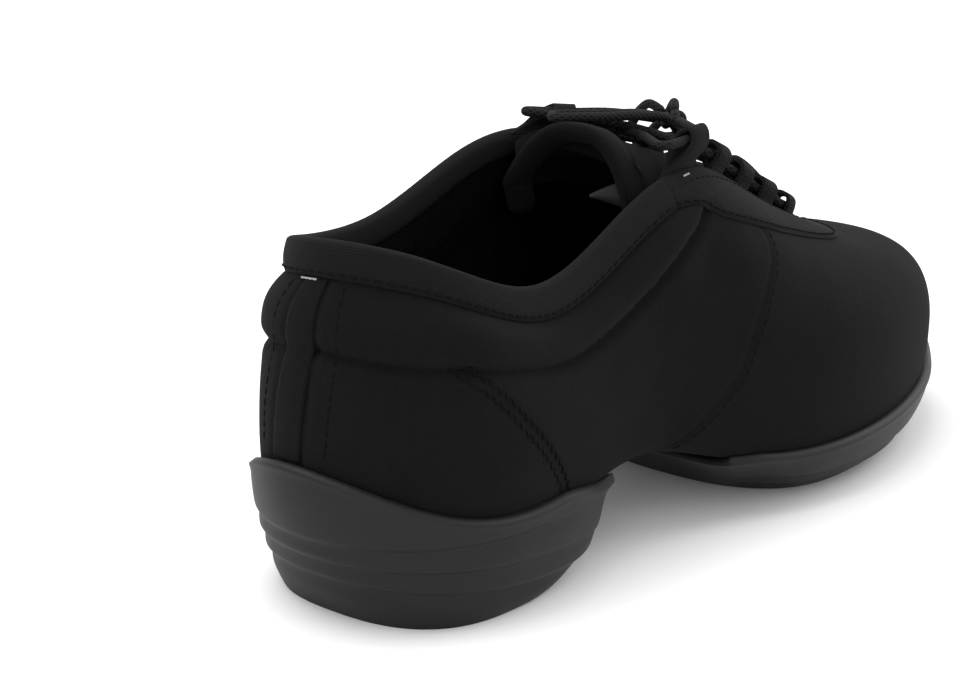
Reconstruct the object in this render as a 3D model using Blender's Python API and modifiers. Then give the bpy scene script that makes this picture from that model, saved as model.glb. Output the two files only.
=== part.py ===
"""Split-sole dance sneaker: one right shoe, standing empty on its soles, in metres.

+X runs to the toe, +Y to the inner side, +Z up. The origin is the middle of the heel's flat
on the floor. Every piece is worked out from one surface, the outside of the upper: a column
runs up the wall at each place around the foot, and a piece is a set of points at a share of
that column's length and a distance out from it.
"""
from math import cos, pi, radians, sin

import bmesh
import bpy
import numpy as np

# Driving sizes
LENGTH = 0.258
BALL_WIDTH = 0.093
HEEL_WIDTH = 0.066
COLLAR_HEIGHT = 0.085
INSTEP_HEIGHT = 0.089
HEEL_LIFT = 0.025
BALL_LIFT = 0.011
ARCH_SAG = 0.0015
HEEL_FLAT_AT = 0.16 * LENGTH

# Walls and clearances
WALL = 0.0022
SEAT_GAP = 0.0003
PAD_OUT = 0.0028
PAD_IN = 0.0018
COLLAR_DEPTH = 0.0175
BINDING_WIDTH = 0.0065
BINDING_THICKNESS = 0.001
EYESTAY_WIDTH = 0.0098
EYESTAY_THICKNESS = 0.0014
STRIP_WIDTH = 0.0062
STRIP_THICKNESS = 0.0008

# Soles
CUP_RISE = 0.013
CUP_WALL = 0.0022
GROOVE_DEPTH = 0.0009
GROOVE_WIDTH = 0.0016
HEEL_FLAT_LENGTH = 0.056
HEEL_FLAT_WIDTH = 0.058
BALL_FLAT_LENGTH = 0.062
BALL_FLAT_WIDTH = 0.070
BALL_FLAT_AT = 0.665 * LENGTH
# how full each hull is below its rim, at its back and at its front: 0 slants, 1 is square
HEEL_FULLNESS = (.20, .75)
BALL_FULLNESS = (.15, .65)

# Grooves round each sole: height at the heel's or the toe's side, and fall per metre forward
HEEL_GROOVES = ((0.0235, 0), (0.0187, .08), (0.0138, .10))
BALL_GROOVES = ((0.0075, 0), (0.0035, 0))

# Insole and tongue
INSOLE_THICKNESS = 0.0025
INSOLE_MARGIN = 0.09
TONGUE_THICKNESS = 0.005
TONGUE_TUCK = 0.009
TONGUE_ROOT = 0.008

# Lacing
LACE_DIAMETER = 0.0024
LACE_CLEAR = 0.0007
LACE_LIFT = 0.8 * LACE_DIAMETER
LACE_STEP = 2.6 * LACE_DIAMETER
LOOP_WIDTH = 0.006
LOOP_HEIGHT = 0.0086
LOOP_SEAT = 0.0014
LOOP_MOUTH = 0.0042
TAB_HEIGHT = 0.0150
TAB_BASE = 0.0125
TAB_FORWARD = 0.55
KNOT_LENGTH = 0.0095
KNOT_WIDTH = 0.0085
KNOT_HEIGHT = 0.0062
KNOT_CLEAR = 0.0007

# The upper's sections, a row for each column placed by hand, from the heel round the outer
# side to the toe and back along the inner side. Lengths are shares: along and edge_along of
# LENGTH; side, swell and edge_side of half the width (HEEL_WIDTH where front is 0, BALL_WIDTH
# where it is 1); lift of HEEL_LIFT or BALL_LIFT; edge_up of COLLAR_HEIGHT or INSTEP_HEIGHT;
# cup of CUP_RISE. Belly, rise and reach are shares of the column's own height or span, and
# lean is the wall's angle at its top edge in degrees.
SECTION_COLUMNS = ("front", "along", "side", "lift", "swell", "belly", "edge_along",
                   "edge_side", "edge_up", "rise", "lean", "reach", "cup")
SECTIONS = {
    "heel":          (0.0, .023, .00, 1.00, .15, .33, .031, .00, 1.00, .58, 95, .40, 1.00),
    "heel_outer":    (0.0, .085, -.73, .86, .15, .36, .081, -.59, .96, .60, 88, .38, .50),
    "quarter_outer": (0.0, .225, -.85, .78, .15, .36, .209, -.73, .83, .50, 84, .36, .52),
    "waist_outer":   (0.5, .380, -.62, 1.22, .18, .28, .341, -.58, .94, .42, 68, .36, .25),
    "instep_outer":  (1.0, .508, -.73, 1.23, .14, .25, .453, -.47, .99, .42, 48, .38, .30),
    "ball_outer":    (1.0, .628, -.86, 1.00, .12, .31, .570, -.37, .865, .45, 33, .38, .40),
    "toe_outer":     (1.0, .787, -.72, 1.05, .11, .33, .667, -.33, .744, .52, 22, .42, .42),
    "corner_outer":  (1.0, .900, -.43, 1.23, .11, .33, .713, -.20, .700, .60, 16, .50, .38),
    "toe":           (1.0, .970, .06, 1.36, .12, .33, .728, .00, .688, .64, 12, .55, .55),
    "corner_inner":  (1.0, .950, .52, 1.27, .11, .33, .713, .20, .700, .62, 15, .50, .40),
    "toe_inner":     (1.0, .822, .81, 1.05, .11, .33, .667, .33, .748, .55, 20, .42, .42),
    "ball_inner":    (1.0, .682, .90, 1.00, .12, .31, .570, .37, .880, .45, 33, .38, .40),
    "instep_inner":  (1.0, .531, .69, 1.25, .13, .25, .446, .47, 1.03, .42, 48, .38, .30),
    "waist_inner":   (0.5, .380, .58, 1.27, .15, .28, .337, .68, 1.03, .42, 68, .36, .25),
    "quarter_inner": (0.0, .228, .79, .80, .15, .36, .205, .82, .92, .50, 84, .36, .52),
    "heel_inner":    (0.0, .085, .71, .86, .14, .36, .078, .59, .95, .60, 86, .38, .50),
}
ROUND = len(SECTIONS)
STEPS = 4
COLUMNS = ROUND * STEPS
TOE = ROUND / 2
CROSS_CELLS = 6
CUP_ROWS = 3
WALL_ROWS = 5
COLLAR_ROWS = (1.0, .86, .71, .54, .37, .18, .0)
HEEL_FRONT = 2.5
BALL_REAR = 3.5
COLLAR_END = 3.5
EYESTAY_FULL = 4.2

# Tongue, a row for each section behind the collar's corners: crest along and up, sides along,
# out and up, as shares of LENGTH, INSTEP_HEIGHT and half of BALL_WIDTH
TONGUE_FREE = (
    # crest_along, crest_up, side_along, side_out, side_up
    (.395, 1.110, .388, .355, .955),
    (.380, 1.125, .374, .340, .965),
)
# Crest of the tongue under the lacing: column place, height as a share of INSTEP_HEIGHT
TONGUE_CREST = ((3.5, 1.085), (4.0, 1.045), (4.5, .99), (5.0, .93), (5.5, .875), (6.0, .81),
                (6.5, .745),
                (7.0, .69), (7.4, .655))


# Places of the lace loops on the throat's edge, from the top tab down to the toe
LOOP_PLACES = (3.80, 4.44, 4.98, 5.42, 6.20)
# Outline of a lace loop, half of it: share of its height and half thickness of its outside,
# the same of its hole; half thicknesses are shares of half the mouth
LOOP_OUTLINE = (
    # outer_up, outer_half, hole_up, hole_half
    (.00, .30, .30, .08),
    (.22, .58, .40, .32),
    (.45, 1.12, .52, .80),
    (.66, 1.45, .66, 1.00),
    (.84, 1.20, .78, .72),
    (.95, .70, .85, .36),
)
LACE_UP = .58
# Free cords on top, as points chosen by hand: forward, inward and up from the knot's middle,
# in metres. A first or last point near the knot gives the direction in which the cord leaves it.
FREE_CORDS = {
    "bow_loop_rear": ((-.0058, -.0016, .0030), (-.0105, -.0018, .0056), (-.0160, -.0016, .0076),
                      (-.0240, -.0010, .0092), (-.0345, .0010, .0103), (-.0455, .0036, .0117),
                      (-.0505, .0072, .0117), (-.0465, .0104, .0111), (-.0345, .0062, .0101),
                      (-.0240, .0030, .0090), (-.0160, .0024, .0074), (-.0105, .0023, .0054),
                      (-.0060, .0020, .0028)),
    "bow_loop_inner": ((.0013, .0050, .0019), (.0023, .0093, .0036), (.0050, .0140, .0020),
                       (.0090, .0195, -.0025), (.0125, .0255, -.0085), (.0165, .0288, -.0135),
                       (.0202, .0265, -.0120), (.0190, .0200, -.0056), (.0145, .0125, -.0006),
                       (.0080, .0058, .0036), (.0042, .0030, .0019)),
    "lace_end_rear": ((-.0014, .0053, .0000), (-.0018, .0104, .0006), (-.0010, .0155, -.0004),
                      (-.0004, .0210, -.0040), (.0000, .0268, -.0096), (.0004, .0315, -.0160)),
    "lace_end_front": ((.0048, .0013, -.0023), (.0086, .0034, -.0040), (.0120, .0085, -.0066),
                       (.0146, .0140, -.0082), (.0169, .0198, -.0112),
                       (.0192, .0250, -.0161), (.0207, .0290, -.0216)),
}


def mix(first, second, share):
    """A value the given share of the way from first to second."""
    return first + (second - first) * share


def smooth(low, high, value):
    """A soft step from 0 at low to 1 at high."""
    share = np.clip((value - low) / (high - low), 0, 1)
    return share * share * (3 - 2 * share)


def real_sections():
    """The sections in metres, one row each in the order of the table."""
    rows = []
    for values in SECTIONS.values():
        row = dict(zip(SECTION_COLUMNS, values))
        half = mix(HEEL_WIDTH, BALL_WIDTH, row["front"]) / 2
        lift = mix(HEEL_LIFT, BALL_LIFT, row["front"])
        height = mix(COLLAR_HEIGHT, INSTEP_HEIGHT, row["front"])
        rows.append((row["along"] * LENGTH - HEEL_FLAT_AT, row["side"] * half,
                     row["lift"] * lift, row["swell"] * half, row["belly"],
                     row["edge_along"] * LENGTH - HEEL_FLAT_AT, row["edge_side"] * half,
                     row["edge_up"] * height, row["rise"], radians(row["lean"]),
                     row["reach"], row["cup"] * CUP_RISE))
    return np.array(rows)


SPOTS = real_sections()


def section_values(place):
    """The table's values at places round the foot, on a smooth closed curve through its rows."""
    ring = np.vstack([SPOTS, SPOTS[:1]])
    run = np.hypot(np.diff(ring[:, 0]), np.diff(ring[:, 1]))
    slope = np.diff(ring, axis=0) / run[:, None]
    system = np.zeros((ROUND, ROUND))
    target = np.zeros((ROUND, ring.shape[1]))
    for row in range(ROUND):
        before, after = run[row - 1], run[row]
        system[row, row - 1] += after
        system[row, row] += 2 * (before + after)
        system[row, (row + 1) % ROUND] += before
        target[row] = 3 * (after * slope[row - 1] + before * slope[row])
    tangent = np.linalg.solve(system, target)
    tangent = np.vstack([tangent, tangent[:1]])
    place = np.mod(np.asarray(place, float), ROUND)
    row = np.minimum(place.astype(int), ROUND - 1)
    share = (place - row)[:, None]
    length = run[row][:, None]
    return ((1 + 2 * share) * (1 - share) ** 2 * ring[row]
            + share * (1 - share) ** 2 * length * tangent[row]
            + share ** 2 * (3 - 2 * share) * ring[row + 1]
            + share ** 2 * (share - 1) * length * tangent[row + 1])


def bezier(first, second, third, last, share):
    """Points on a cubic curve; the controls are arrays of points."""
    share = share[None, :, None]
    first, second, third, last = (each[:, None, :] for each in (first, second, third, last))
    return ((1 - share) ** 3 * first + 3 * share * (1 - share) ** 2 * second
            + 3 * share ** 2 * (1 - share) * third + share ** 3 * last)


def columns(place):
    """The columns at the given places, each a fine line of points from feather to top edge."""
    place = np.asarray(place, float)
    (x, y, z, swell, belly, edge_x, edge_y, edge_z, rise, lean, reach, _) = section_values(place).T
    ahead = section_values(place + .02)[:, :2]
    behind = section_values(place - .02)[:, :2]
    heading = ahead - behind
    heading /= np.linalg.norm(heading, axis=1)[:, None]
    out = np.stack([heading[:, 1], -heading[:, 0], 0 * x], axis=1)
    up = np.array([[0, 0, 1.0]])
    feather = np.stack([x, y, z], axis=1)
    edge = np.stack([edge_x, edge_y, edge_z], axis=1)
    widest = feather + out * swell[:, None]
    widest[:, 2] = mix(z, edge_z, belly)
    turn = radians(15)
    low = bezier(feather, feather + (out * cos(turn) + up * sin(turn)) * (.9 * swell)[:, None],
                 widest - up * (.6 * (widest[:, 2] - z))[:, None], widest, np.linspace(0, 1, 13))
    away = widest - edge
    away[:, 2] = 0
    away += out * .04 * LENGTH
    away /= np.linalg.norm(away, axis=1)[:, None]
    span = np.linalg.norm(widest - edge, axis=1)
    handle = (away * np.cos(lean)[:, None] - up * np.sin(lean)[:, None]) * (reach * span)[:, None]
    high = bezier(widest, widest + up * (rise * (edge_z - widest[:, 2]))[:, None],
                  edge + handle, edge, np.linspace(0, 1, 45))
    return np.concatenate([low, high[:, 1:]], axis=1)


def lengths(lines):
    """The length along each column up to each of its points."""
    steps = np.linalg.norm(np.diff(lines, axis=1), axis=2)
    return np.concatenate([np.zeros((len(lines), 1)), np.cumsum(steps, axis=1)], axis=1)


def along(lines, run, distance):
    """The point of each column at a distance from its feather; past the edge it runs straight."""
    points = np.empty((len(lines), 3))
    for row, (line, lengths_here, wanted) in enumerate(zip(lines, run, distance)):
        for axis in range(3):
            points[row, axis] = np.interp(wanted, lengths_here, line[:, axis])
        if wanted > lengths_here[-1]:
            tangent = line[-1] - line[-4]
            points[row] += tangent / np.linalg.norm(tangent) * (wanted - lengths_here[-1])
    return points


def pad_weight(place):
    """How much of the collar's padding is left: whole at the heel, none at the throat."""
    round_place = np.minimum(np.mod(place, ROUND), ROUND - np.mod(place, ROUND))
    return 1 - smooth(3.2, 4.3, round_place)


def pad_out(place, down):
    """The collar padding's swell on the outside, at a distance below the top edge."""
    share = np.clip((down - BINDING_WIDTH) / (COLLAR_DEPTH - BINDING_WIDTH), 0, 1)
    return PAD_OUT * pad_weight(place) * np.sin(pi * share) ** .8


def pad_in(place, down):
    """The collar padding's swell on the inside, at a distance below the top edge."""
    share = np.clip(down / (1.3 * COLLAR_DEPTH), 0, 1)
    return PAD_IN * pad_weight(place) * np.sin(pi * share) ** .8


def wall_points(place, distance, out=0.0):
    """Points on the outside of the upper, at a distance up from the feather and out from it."""
    place = np.atleast_1d(np.asarray(place, float))
    distance = np.broadcast_to(np.asarray(distance, float), place.shape)
    nudge = .0004
    side_nudge = .02
    lines = columns(place)
    run = lengths(lines)
    total = run[:, -1]
    points = along(lines, run, distance)
    upward = along(lines, run, np.minimum(distance + nudge, total))
    upward = upward - along(lines, run, np.minimum(distance, total) - nudge)
    ahead, behind = columns(place + side_nudge), columns(place - side_nudge)
    ahead_run, behind_run = lengths(ahead), lengths(behind)
    share = np.minimum(distance / total, 1)
    sideways = (along(ahead, ahead_run, share * ahead_run[:, -1])
                - along(behind, behind_run, share * behind_run[:, -1]))
    normal = np.cross(sideways, upward)
    normal /= np.linalg.norm(normal, axis=1)[:, None]
    return points + normal * (np.asarray(out) + pad_out(place, total - distance))[..., None]


def column_lengths(place):
    """The whole length of each column."""
    return lengths(columns(np.atleast_1d(np.asarray(place, float))))[:, -1]


def below_edge(place, down, out=0.0):
    """Points at a distance down from the top edge, on the outside or out from it."""
    return wall_points(place, column_lengths(place) - down, out)


def inside_edge(place, down, inward):
    """Points on the inside of the upper near its top edge, moved further inward."""
    place = np.atleast_1d(np.asarray(place, float))
    depth = WALL + pad_in(place, down) + pad_out(place, down) + inward
    return below_edge(place, down, -depth)


def rim_distance(place):
    """How far up its column each place has the rim of the sole's cup."""
    place = np.atleast_1d(np.asarray(place, float))
    values = section_values(place)
    near = np.minimum(np.mod(place, ROUND), ROUND - np.mod(place, ROUND))
    heel_end = smooth(HEEL_FRONT, HEEL_FRONT - .7, near)
    ball_end = smooth(BALL_REAR, BALL_REAR + .5, near)
    keep = .25 + .75 * np.maximum(heel_end, ball_end)
    height = values[:, 2] + values[:, 11] * keep
    lines = columns(place)
    run = lengths(lines)
    return np.array([np.interp(wanted, line[:, 2], length)
                     for wanted, line, length in zip(height, lines, run)])


def row_distances(place):
    """Distances up each column of the upper's rows: cup, wall, then collar."""
    rim = rim_distance(place)
    total = column_lengths(place)
    seam = total - COLLAR_DEPTH
    rows = [rim * share for share in np.linspace(0, 1, CUP_ROWS + 1)]
    rows += [mix(rim, seam, share) for share in np.linspace(0, 1, WALL_ROWS + 1)[1:-1]]
    rows += [total - COLLAR_DEPTH * share for share in COLLAR_ROWS]
    return rows


def bottom_point(pair, cross, down=0.0):
    """A point under the foot between the two feather points of a pair of columns."""
    outer = wall_points(pair / STEPS, 0, down)[0]
    inner = wall_points(ROUND - pair / STEPS, 0, down)[0]
    point = mix(outer, inner, cross)
    width = min(1.0, np.linalg.norm(outer - inner) / HEEL_WIDTH)
    point[2] -= ARCH_SAG * 4 * cross * (1 - cross) * width
    return point


class Skin:
    """Points by name and the faces between them, made into one object."""

    def __init__(self):
        self.points = {}
        self.faces = []

    def add(self, key, point):
        self.points[key] = tuple(float(value) for value in point)

    def face(self, *keys):
        corners = list(dict.fromkeys(keys))
        if len(corners) == 4:
            self.faces.append(corners[:3])
            self.faces.append([corners[0], corners[2], corners[3]])
        elif len(corners) > 2:
            self.faces.append(corners)

    def strip(self, first, second, closed=False):
        """Faces between two rows of as many keys."""
        count = len(first) if closed else len(first) - 1
        for index in range(count):
            after = (index + 1) % len(first)
            self.face(first[index], first[after], second[after], second[index])

    def make(self, name, look):
        order = {key: index for index, key in enumerate(self.points)}
        mesh = bpy.data.meshes.new(name)
        faces = [[order[key] for key in corners] for corners in self.faces]
        mesh.from_pydata(list(self.points.values()), [], faces)
        clean = bmesh.new()
        clean.from_mesh(mesh)
        bmesh.ops.remove_doubles(clean, verts=clean.verts, dist=.000001)
        bmesh.ops.recalc_face_normals(clean, faces=clean.faces)
        clean.to_mesh(mesh)
        clean.free()
        mesh.shade_smooth()
        mesh.set_sharp_from_angle(angle=radians(40))
        thing = bpy.data.objects.new(name, mesh)
        collection().objects.link(thing)
        mesh.materials.append(material(*look))
        return thing


def collection():
    """The collection that holds the shoe's pieces."""
    found = bpy.data.collections.get("dance_sneaker")
    if found is None:
        found = bpy.data.collections.new("dance_sneaker")
        bpy.context.scene.collection.children.link(found)
    return found


def material(name, colour, roughness):
    """A Principled material, made once for each name."""
    found = bpy.data.materials.get(name)
    if found is None:
        found = bpy.data.materials.new(name)
        found.use_nodes = True
        shader = found.node_tree.nodes["Principled BSDF"]
        shader.inputs["Base Color"].default_value = (*colour, 1)
        shader.inputs["Roughness"].default_value = roughness
        shader.inputs["Metallic"].default_value = 0
    return found


KNIT = ("upper_knit", (.012, .012, .013), .9)
TAPE = ("knit_tape", (.016, .016, .017), .85)
LINING = ("lining", (.008, .008, .008), .95)
RUBBER = ("sole_rubber", (.035, .035, .036), .6)
WEBBING = ("webbing", (.02, .02, .021), .8)
CORD = ("lace_cord", (.013, .013, .013), .75)


def wall_key(column, row):
    return ("wall", column % COLUMNS, row)


def bottom_key(pair, cell):
    """Key of a point under the foot; the outermost ones are the feather points."""
    if cell == 0:
        return wall_key(pair, 0)
    if cell == CROSS_CELLS:
        return wall_key(COLUMNS - pair, 0)
    return ("bottom", pair, cell)


def add_bottom(skin, pairs, down, holes=()):
    """The cells under the foot between the given pairs of columns, less any holes."""
    for pair in pairs:
        for cell in range(1, CROSS_CELLS):
            if 0 < pair < COLUMNS // 2:
                point = bottom_point(pair, cell / CROSS_CELLS, down)
                skin.add(bottom_key(pair, cell), point)
    for pair in pairs[:-1]:
        ahead = pair + 1
        for cell in range(CROSS_CELLS):
            open_here = any(first <= pair < last for first, last in holes)
            if open_here and 0 < cell < CROSS_CELLS - 1:
                continue
            corners = [(pair, cell), (ahead, cell), (ahead, cell + 1), (pair, cell + 1)]
            keys = []
            for corner_pair, corner_cell in corners:
                if corner_pair in (0, COLUMNS // 2):
                    corner_cell = 0
                keys.append(bottom_key(corner_pair, corner_cell))
            skin.face(*keys)


def upper():
    """Hollow textile shell: wall, padded collar and lasting margins, open under both soles."""
    skin = Skin()
    places = np.arange(COLUMNS) / STEPS
    rows = row_distances(places)
    total = column_lengths(places)
    thickness = {}
    most = WALL + PAD_OUT + PAD_IN
    for row, distance in enumerate(rows):
        points = wall_points(places, distance)
        depth = WALL + pad_out(places, total - distance) + pad_in(places, total - distance)
        for column in range(COLUMNS):
            skin.add(wall_key(column, row), points[column])
            thickness[wall_key(column, row)] = depth[column] / most
    for row in range(len(rows) - 1):
        skin.strip([wall_key(column, row) for column in range(COLUMNS)],
                   [wall_key(column, row + 1) for column in range(COLUMNS)], closed=True)
    heel_hole = (2, int(HEEL_FRONT * STEPS) - 1)
    ball_hole = (int(BALL_REAR * STEPS) + 2, COLUMNS // 2 - 3)
    add_bottom(skin, range(COLUMNS // 2 + 1), 0, (heel_hole, ball_hole))
    weights = [thickness.get(key, WALL / most) for key in skin.points]
    thing = skin.make("upper", KNIT)
    group = thing.vertex_groups.new(name="thickness")
    for index, weight in enumerate(weights):
        group.add([index], float(weight), "REPLACE")
    shell = thing.modifiers.new("wall", "SOLIDIFY")
    shell.thickness = most
    shell.offset = -1
    shell.vertex_group = "thickness"
    return thing


def superellipse(angle, half_length, half_width, power):
    """A point on a rounded outline about the middle."""
    reach = (abs(cos(angle) / half_length) ** power
             + abs(sin(angle) / half_width) ** power) ** (-1 / power)
    return np.array([cos(angle) * reach, sin(angle) * reach])


def sole(name, places, end_pair, flat_at, flat_length, flat_width, grooves, fullness):
    """A rubber cup: its inside follows the upper, its side steps in to a flat on the floor."""
    skin = Skin()
    places = np.asarray(places, float)
    rim = rim_distance(places)
    column_ids = [int(round(place * STEPS)) for place in places]
    for row in range(CUP_ROWS + 1):
        points = wall_points(places, rim * row / CUP_ROWS, SEAT_GAP)
        for column, point in zip(column_ids, points):
            skin.add(wall_key(column, row), point)
    for row in range(CUP_ROWS):
        skin.strip([wall_key(column, row) for column in column_ids],
                   [wall_key(column, row + 1) for column in column_ids])
    half_round = COLUMNS // 2
    pairs = range(end_pair + 1) if end_pair < half_round / 3 else range(end_pair, half_round + 1)
    add_bottom(skin, pairs, SEAT_GAP)
    inner_side = column_ids[-1] % COLUMNS > half_round
    cells = range(CROSS_CELLS - 1, 0, -1) if inner_side else range(1, CROSS_CELLS)
    lip = [wall_key(column, CUP_ROWS) for column in column_ids]
    end_steps = range(CUP_ROWS - 1, -1, -1)
    first, last = column_ids[0], column_ids[-1]
    lip += [wall_key(last, row) for row in end_steps]
    lip += [bottom_key(end_pair, cell) for cell in cells]
    lip += [wall_key(first, row) for row in reversed(end_steps)]
    inner = np.array([skin.points[key] for key in lip])

    # the rim's outer edge: out from the wall, and out past the cup's end under the arch
    outer = inner.copy()
    outer[:len(places)] = wall_points(places, rim - .0006, SEAT_GAP + CUP_WALL)
    toward = 1 if end_pair < half_round / 3 else -1
    count = len(lip)
    for index in range(len(places), count):
        outer[index, 0] += toward * CUP_WALL
        outer[index, 2] -= .0012
    for index, near in ((len(places), -1), (count - 1, 0)):
        side = np.sign(inner[index, 1])
        outer[index:index + 1, 1] += side * CUP_WALL * .6
    middle = np.array([flat_at, 0.0])
    floor = []
    for point in outer:
        angle = np.arctan2(point[1] - middle[1], point[0] - middle[0])
        flat = superellipse(angle, flat_length / 2, flat_width / 2, 2.6) + middle
        floor.append((flat[0], flat[1], 0.0))
    floor = np.array(floor)
    height = outer[:, 2:3]
    inset = floor - outer
    inset[:, 2] = 0
    toward_toe = (outer[:, 0] - middle[0]) / np.linalg.norm(outer[:, :2] - middle, axis=1)
    full = mix(*fullness, (1 + toward_toe) / 2)[:, None]
    stays = outer + inset * .04
    stays[:, 2:] = height * (.55 - .25 * full)
    lands = floor - inset * full
    lands[:, 2:] = .12 * height
    shares = np.linspace(0, 1, 41)
    lines = bezier(outer, stays, lands, floor, shares)
    fade = np.ones(count)
    fade[len(places):] = 0
    levels = []
    for back_height, slope in grooves:
        for offset, depth in ((.5, 0), (0, 1), (-.5, 0)):
            wanted = back_height - slope * (outer[:, 0] + HEEL_FLAT_AT) + offset * GROOVE_WIDTH
            ceiling = .96 - .025 * len(levels)
            levels.append((np.minimum(wanted, ceiling * height[:, 0]), depth))
    rings = [lip]
    levels = [(height[:, 0], 0)] + levels + [(.12 * np.minimum(height[:, 0], .02), 0),
                                              (0 * height[:, 0], 0)]
    for level, (wanted, depth) in enumerate(levels):
        ring = []
        for index in range(count):
            line = lines[index]
            point = np.array([np.interp(-wanted[index], -line[:, 2], line[:, axis])
                              for axis in range(3)])
            away = outer[index, :2] - middle
            away /= np.linalg.norm(away)
            point[:2] -= away * GROOVE_DEPTH * depth * fade[index]
            key = ("hull", level, index)
            skin.add(key, point)
            ring.append(key)
        rings.append(ring)
    for upper_ring, lower_ring in zip(rings, rings[1:]):
        skin.strip(upper_ring, lower_ring, closed=True)
    skin.face(*rings[-1])
    return skin.make(name, RUBBER)


def sweep(name, look, loops, closed=False):
    """A solid through closed loops of points, with flat ends unless it closes on itself."""
    skin = Skin()
    keys = []
    for station, loop in enumerate(loops):
        row = [(station, index) for index in range(len(loop))]
        for key, point in zip(row, loop):
            skin.add(key, point)
        keys.append(row)
    for first, second in zip(keys, keys[1:]):
        skin.strip(first, second, closed=True)
    if closed:
        skin.strip(keys[-1], keys[0], closed=True)
    else:
        skin.face(*keys[0])
        skin.face(*keys[-1])
    return skin.make(name, look)


def ring_places(first, last):
    """The upper's own columns from one place to another."""
    return np.arange(round(first * STEPS), round(last * STEPS) + 1) / STEPS


def collar_binding():
    """Knit tape folded over the collar edge, from corner to corner round the heel."""
    rows_out = [COLLAR_DEPTH * share for share in COLLAR_ROWS
                if share * COLLAR_DEPTH < BINDING_WIDTH + .0001]
    rows_in = rows_out[-2:]
    loops = []
    for place in ring_places(-COLLAR_END, COLLAR_END):
        skin_out = [below_edge(place, down, SEAT_GAP)[0] for down in rows_out]
        face_out = [below_edge(place, down, SEAT_GAP + BINDING_THICKNESS)[0] for down in rows_out]
        crown = SEAT_GAP + BINDING_THICKNESS
        top_out = below_edge(place, -crown, .3 * BINDING_THICKNESS)[0]
        top_in = below_edge(place, -crown, -WALL - .3 * BINDING_THICKNESS)[0]
        under_out = below_edge(place, -SEAT_GAP, SEAT_GAP)[0]
        under_in = below_edge(place, -SEAT_GAP, -WALL - SEAT_GAP)[0]
        face_in = [inside_edge(place, down, SEAT_GAP + BINDING_THICKNESS)[0] for down in rows_in]
        skin_in = [inside_edge(place, down, SEAT_GAP)[0] for down in rows_in]
        loops.append(face_out + [top_out, top_in] + face_in[::-1] + skin_in
                     + [under_in, under_out] + skin_out[::-1])
    return sweep("collar_binding", TAPE, loops)


def eyestay():
    """Band round the throat, from one collar corner to the other."""
    clear = .012
    places = ring_places(COLLAR_END, ROUND - COLLAR_END)
    places[0] += clear
    places[-1] -= clear
    near = np.minimum(places, ROUND - places)
    widths = mix(BINDING_WIDTH, EYESTAY_WIDTH, smooth(COLLAR_END, EYESTAY_FULL, near))
    loops = []
    for place, width in zip(places, widths):
        rows = [width, .66 * width, .33 * width, 0]
        loops.append([below_edge(place, down, SEAT_GAP)[0] for down in rows]
                     + [below_edge(place, down, SEAT_GAP + EYESTAY_THICKNESS)[0]
                        for down in reversed(rows)])
    return sweep("eyestay", TAPE, loops)


def heel_strip():
    """Vertical tape down the back of the heel, from the binding to the sole's rim."""
    half = STRIP_WIDTH / 2 / np.linalg.norm(SPOTS[1, :2] - SPOTS[0, :2])
    places = np.linspace(-half, half, 5)
    loops = []
    for place in places:
        total = column_lengths(place)[0]
        rim = rim_distance(place)[0] + 2 * SEAT_GAP
        top = total - BINDING_WIDTH - SEAT_GAP
        seam = total - COLLAR_DEPTH
        rows = [mix(rim, seam, share) for share in np.linspace(0, 1, WALL_ROWS + 1)]
        rows += [total - COLLAR_DEPTH * share for share in COLLAR_ROWS
                 if share < 1 and total - COLLAR_DEPTH * share < top - .0005]
        rows.append(top)
        near = [wall_points(place, row, SEAT_GAP)[0] for row in rows]
        far = [wall_points(place, row, SEAT_GAP + STRIP_THICKNESS)[0] for row in rows]
        loops.append(near + far[::-1])
    return sweep("heel_strip", TAPE, loops)


def insole():
    """Thin board on the upper's bottom, clear of the walls all round."""
    loops = []
    under, over = WALL + SEAT_GAP, WALL + SEAT_GAP + INSOLE_THICKNESS
    for pair in range(2, COLUMNS // 2 - 1):
        shares = np.linspace(INSOLE_MARGIN, 1 - INSOLE_MARGIN, CROSS_CELLS + 1)
        low = [bottom_point(pair, share) + np.array([0, 0, under]) for share in shares]
        high = [bottom_point(pair, share) + np.array([0, 0, over]) for share in shares]
        loops.append(low + high[::-1])
    return sweep("insole", LINING, loops)


def arch_section(outer_side, inner_side, crest, thickness, tuck_outer=(), tuck_inner=()):
    """A closed section of the tongue: an arch over the instep with its sides tucked in."""
    shares = np.linspace(-1, 1, 9)
    base = mix(outer_side, inner_side, .5)
    half = (inner_side - outer_side) / 2
    rise = crest - base
    line = [base + half * share + rise * (1 - abs(share) ** 2.2) for share in shares]
    line = list(tuck_outer) + line + list(tuck_inner)[::-1]
    line = np.array(line)
    step = np.gradient(line, axis=0)
    inward = np.stack([0 * step[:, 0], step[:, 2], -step[:, 1]], axis=1)
    inward /= np.linalg.norm(inward, axis=1)[:, None]
    return list(line) + list((line + inward * thickness)[::-1])


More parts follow.
